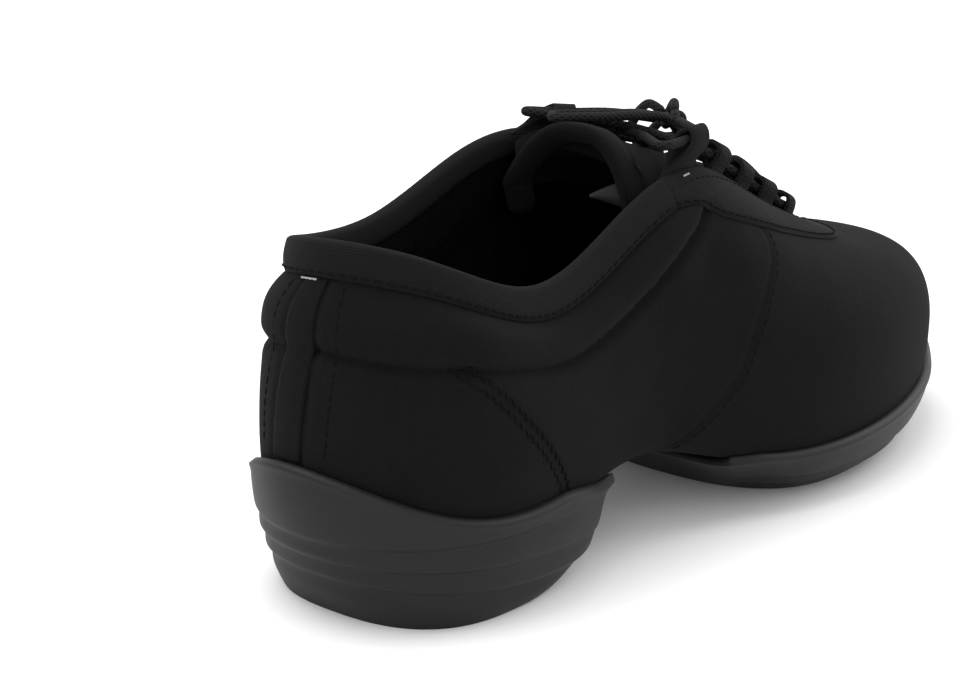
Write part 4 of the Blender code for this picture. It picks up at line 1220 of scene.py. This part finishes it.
class SNEAKER_OT_soles(ShoeOperator):
    """Two rubber soles: cups with a thin lip, layered sides and a tread"""

    bl_idname = "sneaker.soles"
    bl_label = "Soles"

    def build(self, looks):
        look = finishes()
        heel_places = np.linspace(-HEEL_FRONT, HEEL_FRONT, 150)
        ball_places = np.linspace(BALL_START, ROUND - BALL_START, 230)
        jobs = (("heel_cup", "heel_sole", heel_places, HEEL_FRONT, 0.0, HEEL_FLAT_LENGTH,
                 HEEL_FLAT_WIDTH, HEEL_LAYERS, HEEL_FULLNESS, 1, HEEL_FADES, HEEL_SLOPE),
                ("forefoot_cup", "forefoot_sole", ball_places, BALL_START,
                 BALL_FLAT_AT - HEEL_FLAT_AT, BALL_FLAT_LENGTH, BALL_FLAT_WIDTH, BALL_LAYERS,
                 BALL_FULLNESS, -1, BALL_FADES, BALL_SLOPE))
        for (name, node, places, end, flat_at, length, width, grooves, fullness, front, fades,
             reach) in jobs:
            inner, outer, lines, middle = sole_hull(places, end, flat_at, length, width,
                                                    fullness, front, reach)
            count = len(inner)
            fade_end = np.zeros(count)
            fade_end[:len(places)] = smooth(.0, .006, from_ends(outer[:len(places)]))
            rows = [inner, mix(inner, outer, .5) + np.array([0, 0, .0007])]
            away = outer[:, :2] - middle
            away /= np.linalg.norm(away, axis=1)[:, None]
            for share in np.linspace(0, 1, SOLE_ROWS) ** 1.05:
                drop = share * outer[:, 2]
                wanted = outer[:, 2] - drop
                ring = np.empty((count, 3))
                for index in range(count):
                    line = lines[index]
                    for axis in range(3):
                        ring[index, axis] = np.interp(-wanted[index], -line[:, 2],
                                                      line[:, axis])
                depth = np.zeros(count)
                for (level, slope), (from_x, to_x) in zip(grooves, fades):
                    at = level - slope * (outer[:, 0] + HEEL_FLAT_AT)
                    keep = smooth(to_x, from_x, outer[:, 0])
                    depth += LAYER_DEPTH * keep * soft_groove(at - wanted)
                lip = np.exp(-(drop / LIP_REACH) ** 2) * LIP_OUT
                ring[:, :2] += away * (lip - depth * fade_end * smooth(0, .0015, drop)
                                       * smooth(.0, .0012, wanted))[:, None]
                rows.append(ring)
            foot = rows[-1]
            center = np.array([middle[0], 0, 0])
            for share in np.linspace(1, 0, TREAD_RINGS)[1:]:
                ring = center + (foot - center) * share
                if share > 0:
                    ring[:, 2] = TREAD_HEIGHT * (.5 + .5 * cos(share * 2 * pi * TREAD_RIDGES))
                    ring[:, 2] *= share < .93
                rows.append(ring)
            rows = np.array(rows)
            rows = np.concatenate([rows, rows[:, :1]], axis=1)
            hull = grid_of(name, rows)
            fill_ends(hull)
            close_up(hull)
            dress(hull, look["rubber"])
            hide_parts(node)


# Free end of the tongue, a row for each section behind the collar's corners: crest along and
# up, sides along, outer and inner side out, sides up, in millimetres, and thickness
TONGUE_END = (
    # crest_along, crest_up, side_along, outer_out, inner_out, side_up, thick
    (62.0, 98.2, 60.5, 18.6, 21.6, 83.0, 4.6),
    (59.0, 99.2, 58.0, 18.4, 21.6, 83.0, 4.8),
    (56.5, 99.6, 56.0, 18.2, 21.4, 83.0, 4.2),
    (55.2, 99.4, 54.9, 18.0, 21.2, 82.6, 2.6),
    (54.8, 98.8, 54.6, 17.8, 21.0, 82.2, 1.0),
)
# Bare label on the inside of the tongue: its upper and lower corners and its tip
LABEL = ((.0610, -.0140, .0875), (.0585, -.0160, .0800), (.0535, -.0058, .0830))


def arch_section(outer_side, inner_side, crest, thickness, deep, power):
    """A closed section of the tongue: an arch whose sides run down inside the throat."""
    base = mix(outer_side, inner_side, .5)
    half = (inner_side - outer_side) / 2
    line = [base + half * share + (crest - base) * (1 - abs(share) ** power)
            for share in np.linspace(-1, 1, 33)]
    line = [*deep[0], *line, *deep[1][::-1]]
    line = np.array(line)
    step = np.gradient(line, axis=0)
    inward = np.stack([0 * step[:, 0], step[:, 2], -step[:, 1]], axis=1)
    inward /= np.linalg.norm(inward, axis=1)[:, None]
    middle = line + inward * thickness / 2
    rounded = [middle[-1] + (line[-1] - middle[-1]) * cos(turn) - np.array([0, 0, 1.0])
               * thickness / 2 * sin(turn) for turn in (pi / 4, pi / 2, 3 * pi / 4)]
    back = [middle[0] - (line[0] - middle[0]) * cos(turn) - np.array([0, 0, 1.0])
            * thickness / 2 * sin(turn) for turn in (pi / 4, pi / 2, 3 * pi / 4)]
    return [*line, *rounded, *(line + inward * thickness)[::-1], *back]


def tongue_sections():
    """Sections of the tongue from its root at the toe to its free end."""
    sections = []
    tip = TONGUE_CREST[-1][0]
    for place in np.linspace(tip, COLLAR_END, 60):
        crest_share = np.interp(place, *zip(*TONGUE_CREST))
        clear = 2 * SEAT_GAP + (BINDING_THICKNESS + SEAT_GAP) * (
            1 - smooth(COLLAR_END, COLLAR_END + .8, place))
        sides = [[inside_edge(side, down * .009, clear)[0] for down in (1.0, .75, .5, .2, -.12)]
                 for side in (place, ROUND - place)]
        crest = mix(sides[0][-1], sides[1][-1], .5)
        crest[1] = 0
        crest[2] = crest_share * INSTEP_HEIGHT
        thin = mix(.5, 1, smooth(tip, COLLAR_END, place))
        power = mix(2.6, 2.2, smooth(COLLAR_END, COLLAR_END + 1, place))
        sections.append(arch_section(sides[0][-1], sides[1][-1], crest, .005 * thin,
                                     [side[:-1] for side in sides], power))
    for row in TONGUE_END:
        crest_along, crest_up, side_along, outer_out, inner_out, side_up, thick = (
            value / 1000 for value in row)
        sides = [np.array([side_along, out, side_up]) for out in (-outer_out, inner_out)]
        deep = [[side - np.array([-.35 * drop, 0, drop]) for drop in (.007, .005, .0035, .0015)]
                for side in sides]
        sections.append(arch_section(*sides, np.array([crest_along, 0, crest_up]), thick, deep,
                                     2.6))
    return sections


class SNEAKER_OT_inside(ShoeOperator):
    """Padded tongue with its bare label, and the insole"""

    bl_idname = "sneaker.inside"
    bl_label = "Tongue and insole"

    def build(self, looks):
        look = finishes()
        tongue = closed_sweep("padded_tongue", tongue_sections())
        dress(tongue, look["tongue"])
        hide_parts("tongue")
        upper_corner, lower_corner, tip = (np.array(spot) for spot in LABEL)
        sections = []
        for share in np.linspace(0, .93, 12):
            top, low = mix(upper_corner, tip, share), mix(lower_corner, tip, share)
            bow = np.array([.0009, .0011, 0]) * sin(pi * share)
            side = np.array([.0002, .0003, 0])
            sections.append([top + bow - side, mix(top, low, .5) + bow - side, low + bow - side,
                             low + bow + side, mix(top, low, .5) + bow + side,
                             top + bow + side])
        label = closed_sweep("bare_label", sections)
        dress(label, look["label"])
        insole = soft_copy("insole", "sock_insole", 1)
        dress(insole, look["lining"])
        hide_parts("insole")


# Tabs: width at the foot, and height as a share of their solids'. Then half the thickness of
# the webbing.
TAB_FOOT = .0135
TAB_SHORTER = .82
WEBBING_HALF = .00055


class SNEAKER_OT_webbing(ShoeOperator):
    """Loops of ribbed webbing on the throat's edge, and the tabs at its top"""

    bl_idname = "sneaker.webbing"
    bl_label = "Webbing loops"

    def build(self, looks):
        look = finishes()
        for number in range(len(LOOP_PLACES)):
            for inner in (False, True):
                seat, ahead, upward, across = loop_frame(number, inner)
                height = loop_height(number) * (TAB_SHORTER if number == 0 else 1)
                base = TAB_FOOT if number == 0 else looks.webbing_width
                top = looks.webbing_width
                side = [((up + hole_up) / 2, (half + hole_half) / 2)
                        for up, half, hole_up, hole_half in LOOP_OUTLINE]
                outline = [(-.15, .12), *side, (.95, 0)]
                outline += [(up, -half) for up, half in outline[-2::-1]]
                route = np.array([seat + upward * up * height + across * half * LOOP_MOUTH / 2
                                  for up, half in outline])
                route = np.array(smooth_line(route, .0006))
                facing = np.gradient(route, axis=0)
                facing = np.cross(facing, ahead)
                facing /= np.linalg.norm(facing, axis=1)[:, None]
                sections = []
                for point, face in zip(route, facing):
                    rise = np.dot(point - seat, upward) / height
                    wide = mix(base, top, np.clip(rise * 1.3, 0, 1)) / 2
                    section = [point + ahead * wide * side + face * WEBBING_HALF * out
                               for side, out in ((-1, .4), (-.94, 1), (-.5, 1), (0, 1), (.5, 1),
                                                 (.94, 1), (1, .4), (1, -.4), (.94, -1),
                                                 (0, -1), (-.94, -1), (-1, -.4))]
                    sections.append(section)
                side_name = "inner" if inner else "outer"
                label = "smooth_tab" if number == 0 else "webbing_loop"
                piece = closed_sweep(f"{label}_{side_name}_{number}", sections)
                dress(piece, look["tape" if number == 0 else "webbing"])
                node = "top_tab" if number == 0 else "lace_loop"
                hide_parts(f"{node}_{side_name}_{number}")


def cord_tube(name, line, radius, sides=14, flat=1.0):
    """A round or flattened tube along a line, with rounded ends."""
    line = np.array(line)
    step = np.gradient(line, axis=0)
    step /= np.linalg.norm(step, axis=1)[:, None]
    side = np.cross(step[0], (0, 0, 1.0))
    side /= np.linalg.norm(side)
    sections = []
    for index, (point, heading) in enumerate(zip(line, step)):
        side = side - np.dot(side, heading) * heading
        side /= np.linalg.norm(side)
        up = np.cross(side, heading)
        near_end = min(index, len(line) - 1 - index)
        tight = (.55, .9)[near_end] if near_end < 2 else 1.0
        sections.append([point + radius * tight * (side * cos(turn) + up * flat * sin(turn))
                         for turn in np.linspace(0, 2 * pi, sides, endpoint=False)])
    return closed_sweep(name, sections)


# The rear bow loop is this share of its solid's length and height over the knot, and the
# inner one sags this far
BOW_SHORTER = .80
BOW_LOWER = .45
BOW_SAG = .0022
TIP_LENGTH = .006
TIP_OVER = .00012


def free_line(name):
    """A free cord's centre line, from the knot."""
    offsets = [np.array(offset) for offset in FREE_CORDS[name]]
    if name == "bow_loop_rear":
        offsets = [offset * (BOW_SHORTER, 1, BOW_LOWER) for offset in offsets]
    if name == "bow_loop_inner":
        offsets = [offset - (0, 0, BOW_SAG * sin(pi * share))
                   for offset, share in zip(offsets, np.linspace(0, 1, len(offsets)))]
    points = [knot_middle() + np.array(offset) for offset in offsets]
    points[0] = leave_knot(offsets[0])
    if name.startswith("bow_loop"):
        points[-1] = leave_knot(offsets[-1])
    return np.array(smooth_line(points, .0008))


class SNEAKER_OT_laces(ShoeOperator):
    """Lace through the loops, its knot, two bow loops and two ends with their tips"""

    bl_idname = "sneaker.laces"
    bl_label = "Laces"

    def build(self, looks):
        look = finishes()
        for name in FREE_CORDS:
            line = free_line(name)
            cord = cord_tube(name.replace("lace_end", "end").replace("bow_loop", "bow"),
                             line, LACE_DIAMETER / 2)
            dress(cord, look["lace"])
            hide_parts(name)
            if name.startswith("lace_end"):
                heading = line[-1] - line[-4]
                heading /= np.linalg.norm(heading)
                tip_line = [line[-1] - heading * TIP_LENGTH + heading * .0004 * step
                            for step in range(18)]
                tip = cord_tube(name + "_tip", tip_line, LACE_DIAMETER / 2 + TIP_OVER)
                dress(tip, look["tip"])
        halves = []
        for first_inner, lift in ((False, 0), (True, LACE_LIFT)):
            line = smooth_line(lace_half(first_inner, lift), .0009)
            halves.append(cord_tube(f"half_{int(first_inner)}", line, LACE_DIAMETER / 2))
        lacing = join_all(halves, "lacing")
        dress(lacing, look["lace"])
        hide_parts("lace_crossings")
        turns = []
        for start, tilt in ((0, 0), (pi / 2, .9)):
            line = []
            for turn in np.linspace(start, start + 2 * pi * .93, 46):
                point = np.array([cos(turn) * KNOT_LENGTH * .28, sin(turn) * KNOT_WIDTH * .24,
                                  sin(2 * turn + tilt) * KNOT_HEIGHT * .12])
                spin = Matrix.Rotation(tilt, 3, "X") @ Vector(point)
                line.append(knot_middle() + np.array(spin))
            turns.append(cord_tube(f"turn_{len(turns)}", line, LACE_DIAMETER / 2))
        heart = []
        for share in np.linspace(-1, 1, 16):
            heart.append(knot_middle() + np.array([share * .0030, .0006 * sin(3 * share),
                                                   .0016 - .0022 * share ** 2]))
        turns.append(cord_tube("heart", heart, LACE_DIAMETER * .56))
        knot = join_all(turns, "lace_knot_wraps")
        dress(knot, look["lace"])
        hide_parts("lace_knot")


def stitch_shape():
    """One stitch: a short thread that dives in at both ends, along X, up along Z."""
    bpy.ops.mesh.primitive_cylinder_add(vertices=6, radius=.5, depth=1,
                                        rotation=(0, pi / 2, 0))
    thing = bpy.context.object
    bpy.ops.object.transform_apply(location=True, rotation=True, scale=True)
    bpy.ops.object.mode_set(mode="EDIT")
    bpy.ops.mesh.select_all(action="SELECT")
    bpy.ops.mesh.bisect(plane_co=(-.22, 0, 0), plane_no=(1, 0, 0))
    bpy.ops.mesh.select_all(action="SELECT")
    bpy.ops.mesh.bisect(plane_co=(.22, 0, 0), plane_no=(1, 0, 0))
    bpy.ops.mesh.select_all(action="SELECT")
    bpy.ops.mesh.quads_convert_to_tris()
    bpy.ops.object.mode_set(mode="OBJECT")
    mesh = thing.data
    spots = np.array([corner.co[:] for corner in mesh.vertices])
    spots[:, 2] -= np.where(np.abs(spots[:, 0]) > .4, .55, 0)
    faces = np.array([face.vertices[:] for face in mesh.polygons])
    bpy.data.objects.remove(thing)
    return spots, faces


def sew(name, runs, length, gap, thickness, zigzag=0.0):
    """Stitches along lines of points with normals, joined into one piece."""
    spots, faces = stitch_shape()
    all_spots, all_faces = [], []
    for line, facing in runs:
        run = np.concatenate([[0], np.cumsum(np.linalg.norm(np.diff(line, axis=0), axis=1))])
        pitch = length + gap
        for number in range(int(run[-1] / pitch)):
            start = number * pitch
            middle_at = start + pitch / 2
            ends = [np.array([np.interp(at, run, line[:, axis]) for axis in range(3)])
                    for at in (start, start + pitch)]
            heading = ends[1] - ends[0]
            heading /= np.linalg.norm(heading)
            up = np.array([np.interp(middle_at, run, facing[:, axis]) for axis in range(3)])
            up /= np.linalg.norm(up)
            side = np.cross(up, heading)
            side /= np.linalg.norm(side)
            if zigzag:
                lean = zigzag if number % 2 else -zigzag
                heading = heading * pitch + side * lean
                reach = np.linalg.norm(heading)
                heading /= reach
                side = np.cross(up, heading)
            else:
                reach = length
            middle = mix(ends[0], ends[1], .5)
            placed = (middle + spots[:, :1] * reach * heading
                      + spots[:, 1:2] * thickness * side
                      + (spots[:, 2:] + .15) * thickness * up)
            all_faces.append(faces + len(spots) * len(all_spots))
            all_spots.append(placed)
    mesh = bpy.data.meshes.new(name)
    mesh.from_pydata(np.concatenate(all_spots).tolist(), [],
                     np.concatenate(all_faces).tolist())
    thing = bpy.data.objects.new(name, mesh)
    bpy.context.scene.collection.objects.link(thing)
    pick(thing)
    bpy.ops.object.shade_smooth()
    return thing


def edge_line(first, last, down, out):
    """A line at an even distance below the top edge, with its normals."""
    places = np.linspace(first, last, 400)
    deep = np.interp(places, *down) if isinstance(down, tuple) else np.full(400, down)
    points, normal, _ = wall_frame(places, column_lengths(places) - deep)
    return points + normal * (out + pad_out(places, deep))[:, None], normal


class SNEAKER_OT_stitches(ShoeOperator):
    """Rows of stitches on the tapes, the collar, the counter, the vamp and the back"""

    bl_idname = "sneaker.stitches"
    bl_label = "Stitches"

    def build(self, looks):
        look = finishes()
        rows = []
        tape_at = BINDING_WIDTH - .0011
        rows.append(edge_line(-COLLAR_END, COLLAR_END, tape_at, BINDING_THICKNESS + .00005))
        places = np.linspace(COLLAR_END, ROUND - COLLAR_END, 300)
        widths = band_width(places)
        for inset in (.0012, None):
            deep = widths - inset if inset else np.full(len(widths), .0022)
            rows.append(edge_line(COLLAR_END, ROUND - COLLAR_END, (places, deep),
                                  BINDING_THICKNESS + .00005))
        plain = sew("edge_stitches", rows, looks.stitch_length, looks.stitch_gap,
                    looks.thread_width)
        rows = []
        for inner in (False, True):
            for shift in (-.0013, .0013):
                line, facing = seam_line(COUNTER_SEAM, inner)
                heading = np.gradient(line, axis=0)
                side = np.cross(facing, heading)
                side /= np.linalg.norm(side, axis=1)[:, None]
                rows.append((line + side * shift + facing * .00005, facing))
        cover = sew("cover_stitches", rows, .0013, .0, looks.thread_width, zigzag=.0012)
        rows = []
        for inner in (False, True):
            line, facing = seam_line(COLLAR_SEAM, inner)
            rows.append((line - facing * .0009, facing))
            line, facing = seam_line(VAMP_SEAM, inner)
            heading = np.gradient(line, axis=0)
            side = np.cross(facing, heading)
            side /= np.linalg.norm(side, axis=1)[:, None]
            rows.append((line + side * .0022 + facing * .0001, facing))
        for place in (-.31, .31):
            deep = np.linspace(BINDING_WIDTH + .001, column_lengths(0.0)[0]
                               - rim_distance(0.0)[0] - .001, 200)
            places = place + strip_shift(deep)
            points, normal, _ = wall_frame(places, column_lengths(places) - deep)
            rows.append((points + normal * (pad_out(places, deep) + .00008)[:, None], normal))
        seams = sew("seam_stitches", rows, .0019, .0007, looks.thread_width * .8)
        places = np.linspace(-.20, .02, 30)
        deep = np.full(30, BINDING_WIDTH + .0005)
        points, normal, _ = wall_frame(places, column_lengths(places) - deep)
        rows = [(points + normal * (pad_out(places, deep) + .0004)[:, None], normal)]
        places = np.linspace(3.72, 3.84, 30)
        points, normal, _ = wall_frame(places, column_lengths(places) - .0006)
        rows.append((points + normal * (BINDING_THICKNESS + .0006), normal))
        bars = sew("bartacks", rows, .0011, .0002, looks.thread_width * 1.3)
        dress(bars, look["bartack"])
        for piece in (plain, cover, seams):
            dress(piece, look["thread"])


# Camera: place, then azimuth, height and roll in degrees, and lens in millimetres
CAMERA_AT = (-.3791, -.3281, .2037)
CAMERA_TURN = (-50.947, 16.418, 1.275)
CAMERA_LENS = 84.87
# Soft lights: name, place, size, power in watts
LIGHTS = (
    ("key", (-.25, .35, 1.25), 1.1, 13.0),
    ("fill", (-.9, -1.0, .9), 1.2, 5.0),
    ("front", (1.2, -.35, .8), 1.0, 7.0),
)


class SNEAKER_OT_stage(ShoeOperator):
    """Pale floor, soft studio lights and the camera"""

    bl_idname = "sneaker.stage"
    bl_label = "Stage"

    def build(self, looks):
        deselect()
        bpy.ops.mesh.primitive_plane_add(size=30, location=(0, 0, 0))
        floor = bpy.context.object
        floor.name = "floor"
        pale = Finish("floor_paint", .9, Specular_IOR_Level=.05)
        pale.shader.inputs["Base Color"].default_value = (.86, .86, .86, 1)
        floor.data.materials.append(pale.made)
        world = bpy.context.scene.world or bpy.data.worlds.new("studio")
        bpy.context.scene.world = world
        world.use_nodes = True
        world.node_tree.nodes["Background"].inputs[0].default_value = (1, 1, 1, 1)
        world.node_tree.nodes["Background"].inputs[1].default_value = looks.sky
        for name, place, size, power in LIGHTS:
            deselect()
            bpy.ops.object.light_add(type="AREA", location=place)
            lamp = bpy.context.object
            lamp.name = name
            lamp.data.size = size
            lamp.data.energy = power
            toward = Vector((.08, 0, .04)) - Vector(place)
            lamp.rotation_euler = toward.to_track_quat("-Z", "Y").to_euler()
        azimuth, height, roll = (radians(value) for value in CAMERA_TURN)
        back = Vector((sin(azimuth) * cos(height), -cos(azimuth) * cos(height), sin(height)))
        right = (-back).cross(Vector((0, 0, 1))).normalized()
        up = right.cross(-back)
        right, up = right * cos(roll) + up * sin(roll), up * cos(roll) - right * sin(roll)
        bpy.ops.object.camera_add(location=CAMERA_AT)
        camera = bpy.context.object
        camera.name = "camera"
        camera.rotation_euler = Matrix((right, up, back)).transposed().to_euler()
        camera.data.lens = CAMERA_LENS
        camera.data.sensor_width = 36
        camera.data.clip_start = .01
        bpy.context.scene.camera = camera
        bpy.context.scene.view_settings.view_transform = "Standard"


class SneakerLooks(bpy.types.PropertyGroup):
    """Sizes and colours of the shoe's looks."""

    knit_colour: bpy.props.FloatVectorProperty(
        name="Knit", description="Colour of the upper's knit", subtype="COLOR", size=3,
        default=(.0052, .0052, .0055))
    rubber_colour: bpy.props.FloatVectorProperty(
        name="Rubber", description="Colour of the soles", subtype="COLOR", size=3,
        default=(.0075, .0076, .0079))
    lace_colour: bpy.props.FloatVectorProperty(
        name="Lace", description="Colour of the lace", subtype="COLOR", size=3,
        default=(.0060, .0060, .0062))
    nap: bpy.props.FloatProperty(
        name="Nap", description="How fine the knit's fuzz is", default=1.0, min=.3, max=3)
    webbing_width: bpy.props.FloatProperty(
        name="Webbing width", description="Width of the lace loops", default=.0072,
        min=.004, max=.010, unit="LENGTH")
    stitch_length: bpy.props.FloatProperty(
        name="Stitch length", description="Length of an edge stitch", default=.0019,
        min=.001, max=.004, unit="LENGTH")
    stitch_gap: bpy.props.FloatProperty(
        name="Stitch gap", description="Gap between edge stitches", default=.0008,
        min=.0002, max=.003, unit="LENGTH")
    thread_width: bpy.props.FloatProperty(
        name="Thread", description="Thickness of the sewing thread", default=.00036,
        min=.0001, max=.001, unit="LENGTH")
    sky: bpy.props.FloatProperty(
        name="Sky", description="Brightness of the light from all round", default=1.0,
        min=0, max=3)


OPERATORS = (SNEAKER_OT_stage, SNEAKER_OT_laces, SNEAKER_OT_upper, SNEAKER_OT_trims,
             SNEAKER_OT_soles, SNEAKER_OT_inside, SNEAKER_OT_webbing, SNEAKER_OT_stitches)


class SNEAKER_PT_panel(bpy.types.Panel):
    """Lists the shoe's operators and looks."""

    bl_label = "Dance sneaker"
    bl_idname = "SNEAKER_PT_panel"
    bl_space_type = "VIEW_3D"
    bl_region_type = "UI"
    bl_category = "Sneaker"

    def draw(self, context):
        for operator in OPERATORS:
            self.layout.operator(operator.bl_idname)
        for name in SneakerLooks.__annotations__:
            self.layout.prop(context.scene.sneaker_looks, name)


def register():
    """Registers the looks, the operators and the panel."""
    for kind in (SneakerLooks, *OPERATORS, SNEAKER_PT_panel):
        bpy.utils.register_class(kind)
    bpy.types.Scene.sneaker_looks = bpy.props.PointerProperty(type=SneakerLooks)


def unregister():
    """Takes them out again."""
    del bpy.types.Scene.sneaker_looks
    for kind in (SNEAKER_PT_panel, *reversed(OPERATORS), SneakerLooks):
        bpy.utils.unregister_class(kind)


def main():
    """Builds the whole scene."""
    register()
    for name in ("stage", "laces", "upper", "trims", "soles", "inside", "webbing", "stitches"):
        getattr(bpy.ops.sneaker, name)()
    bpy.context.view_layer.update()


if __name__ == "__main__":
    main()
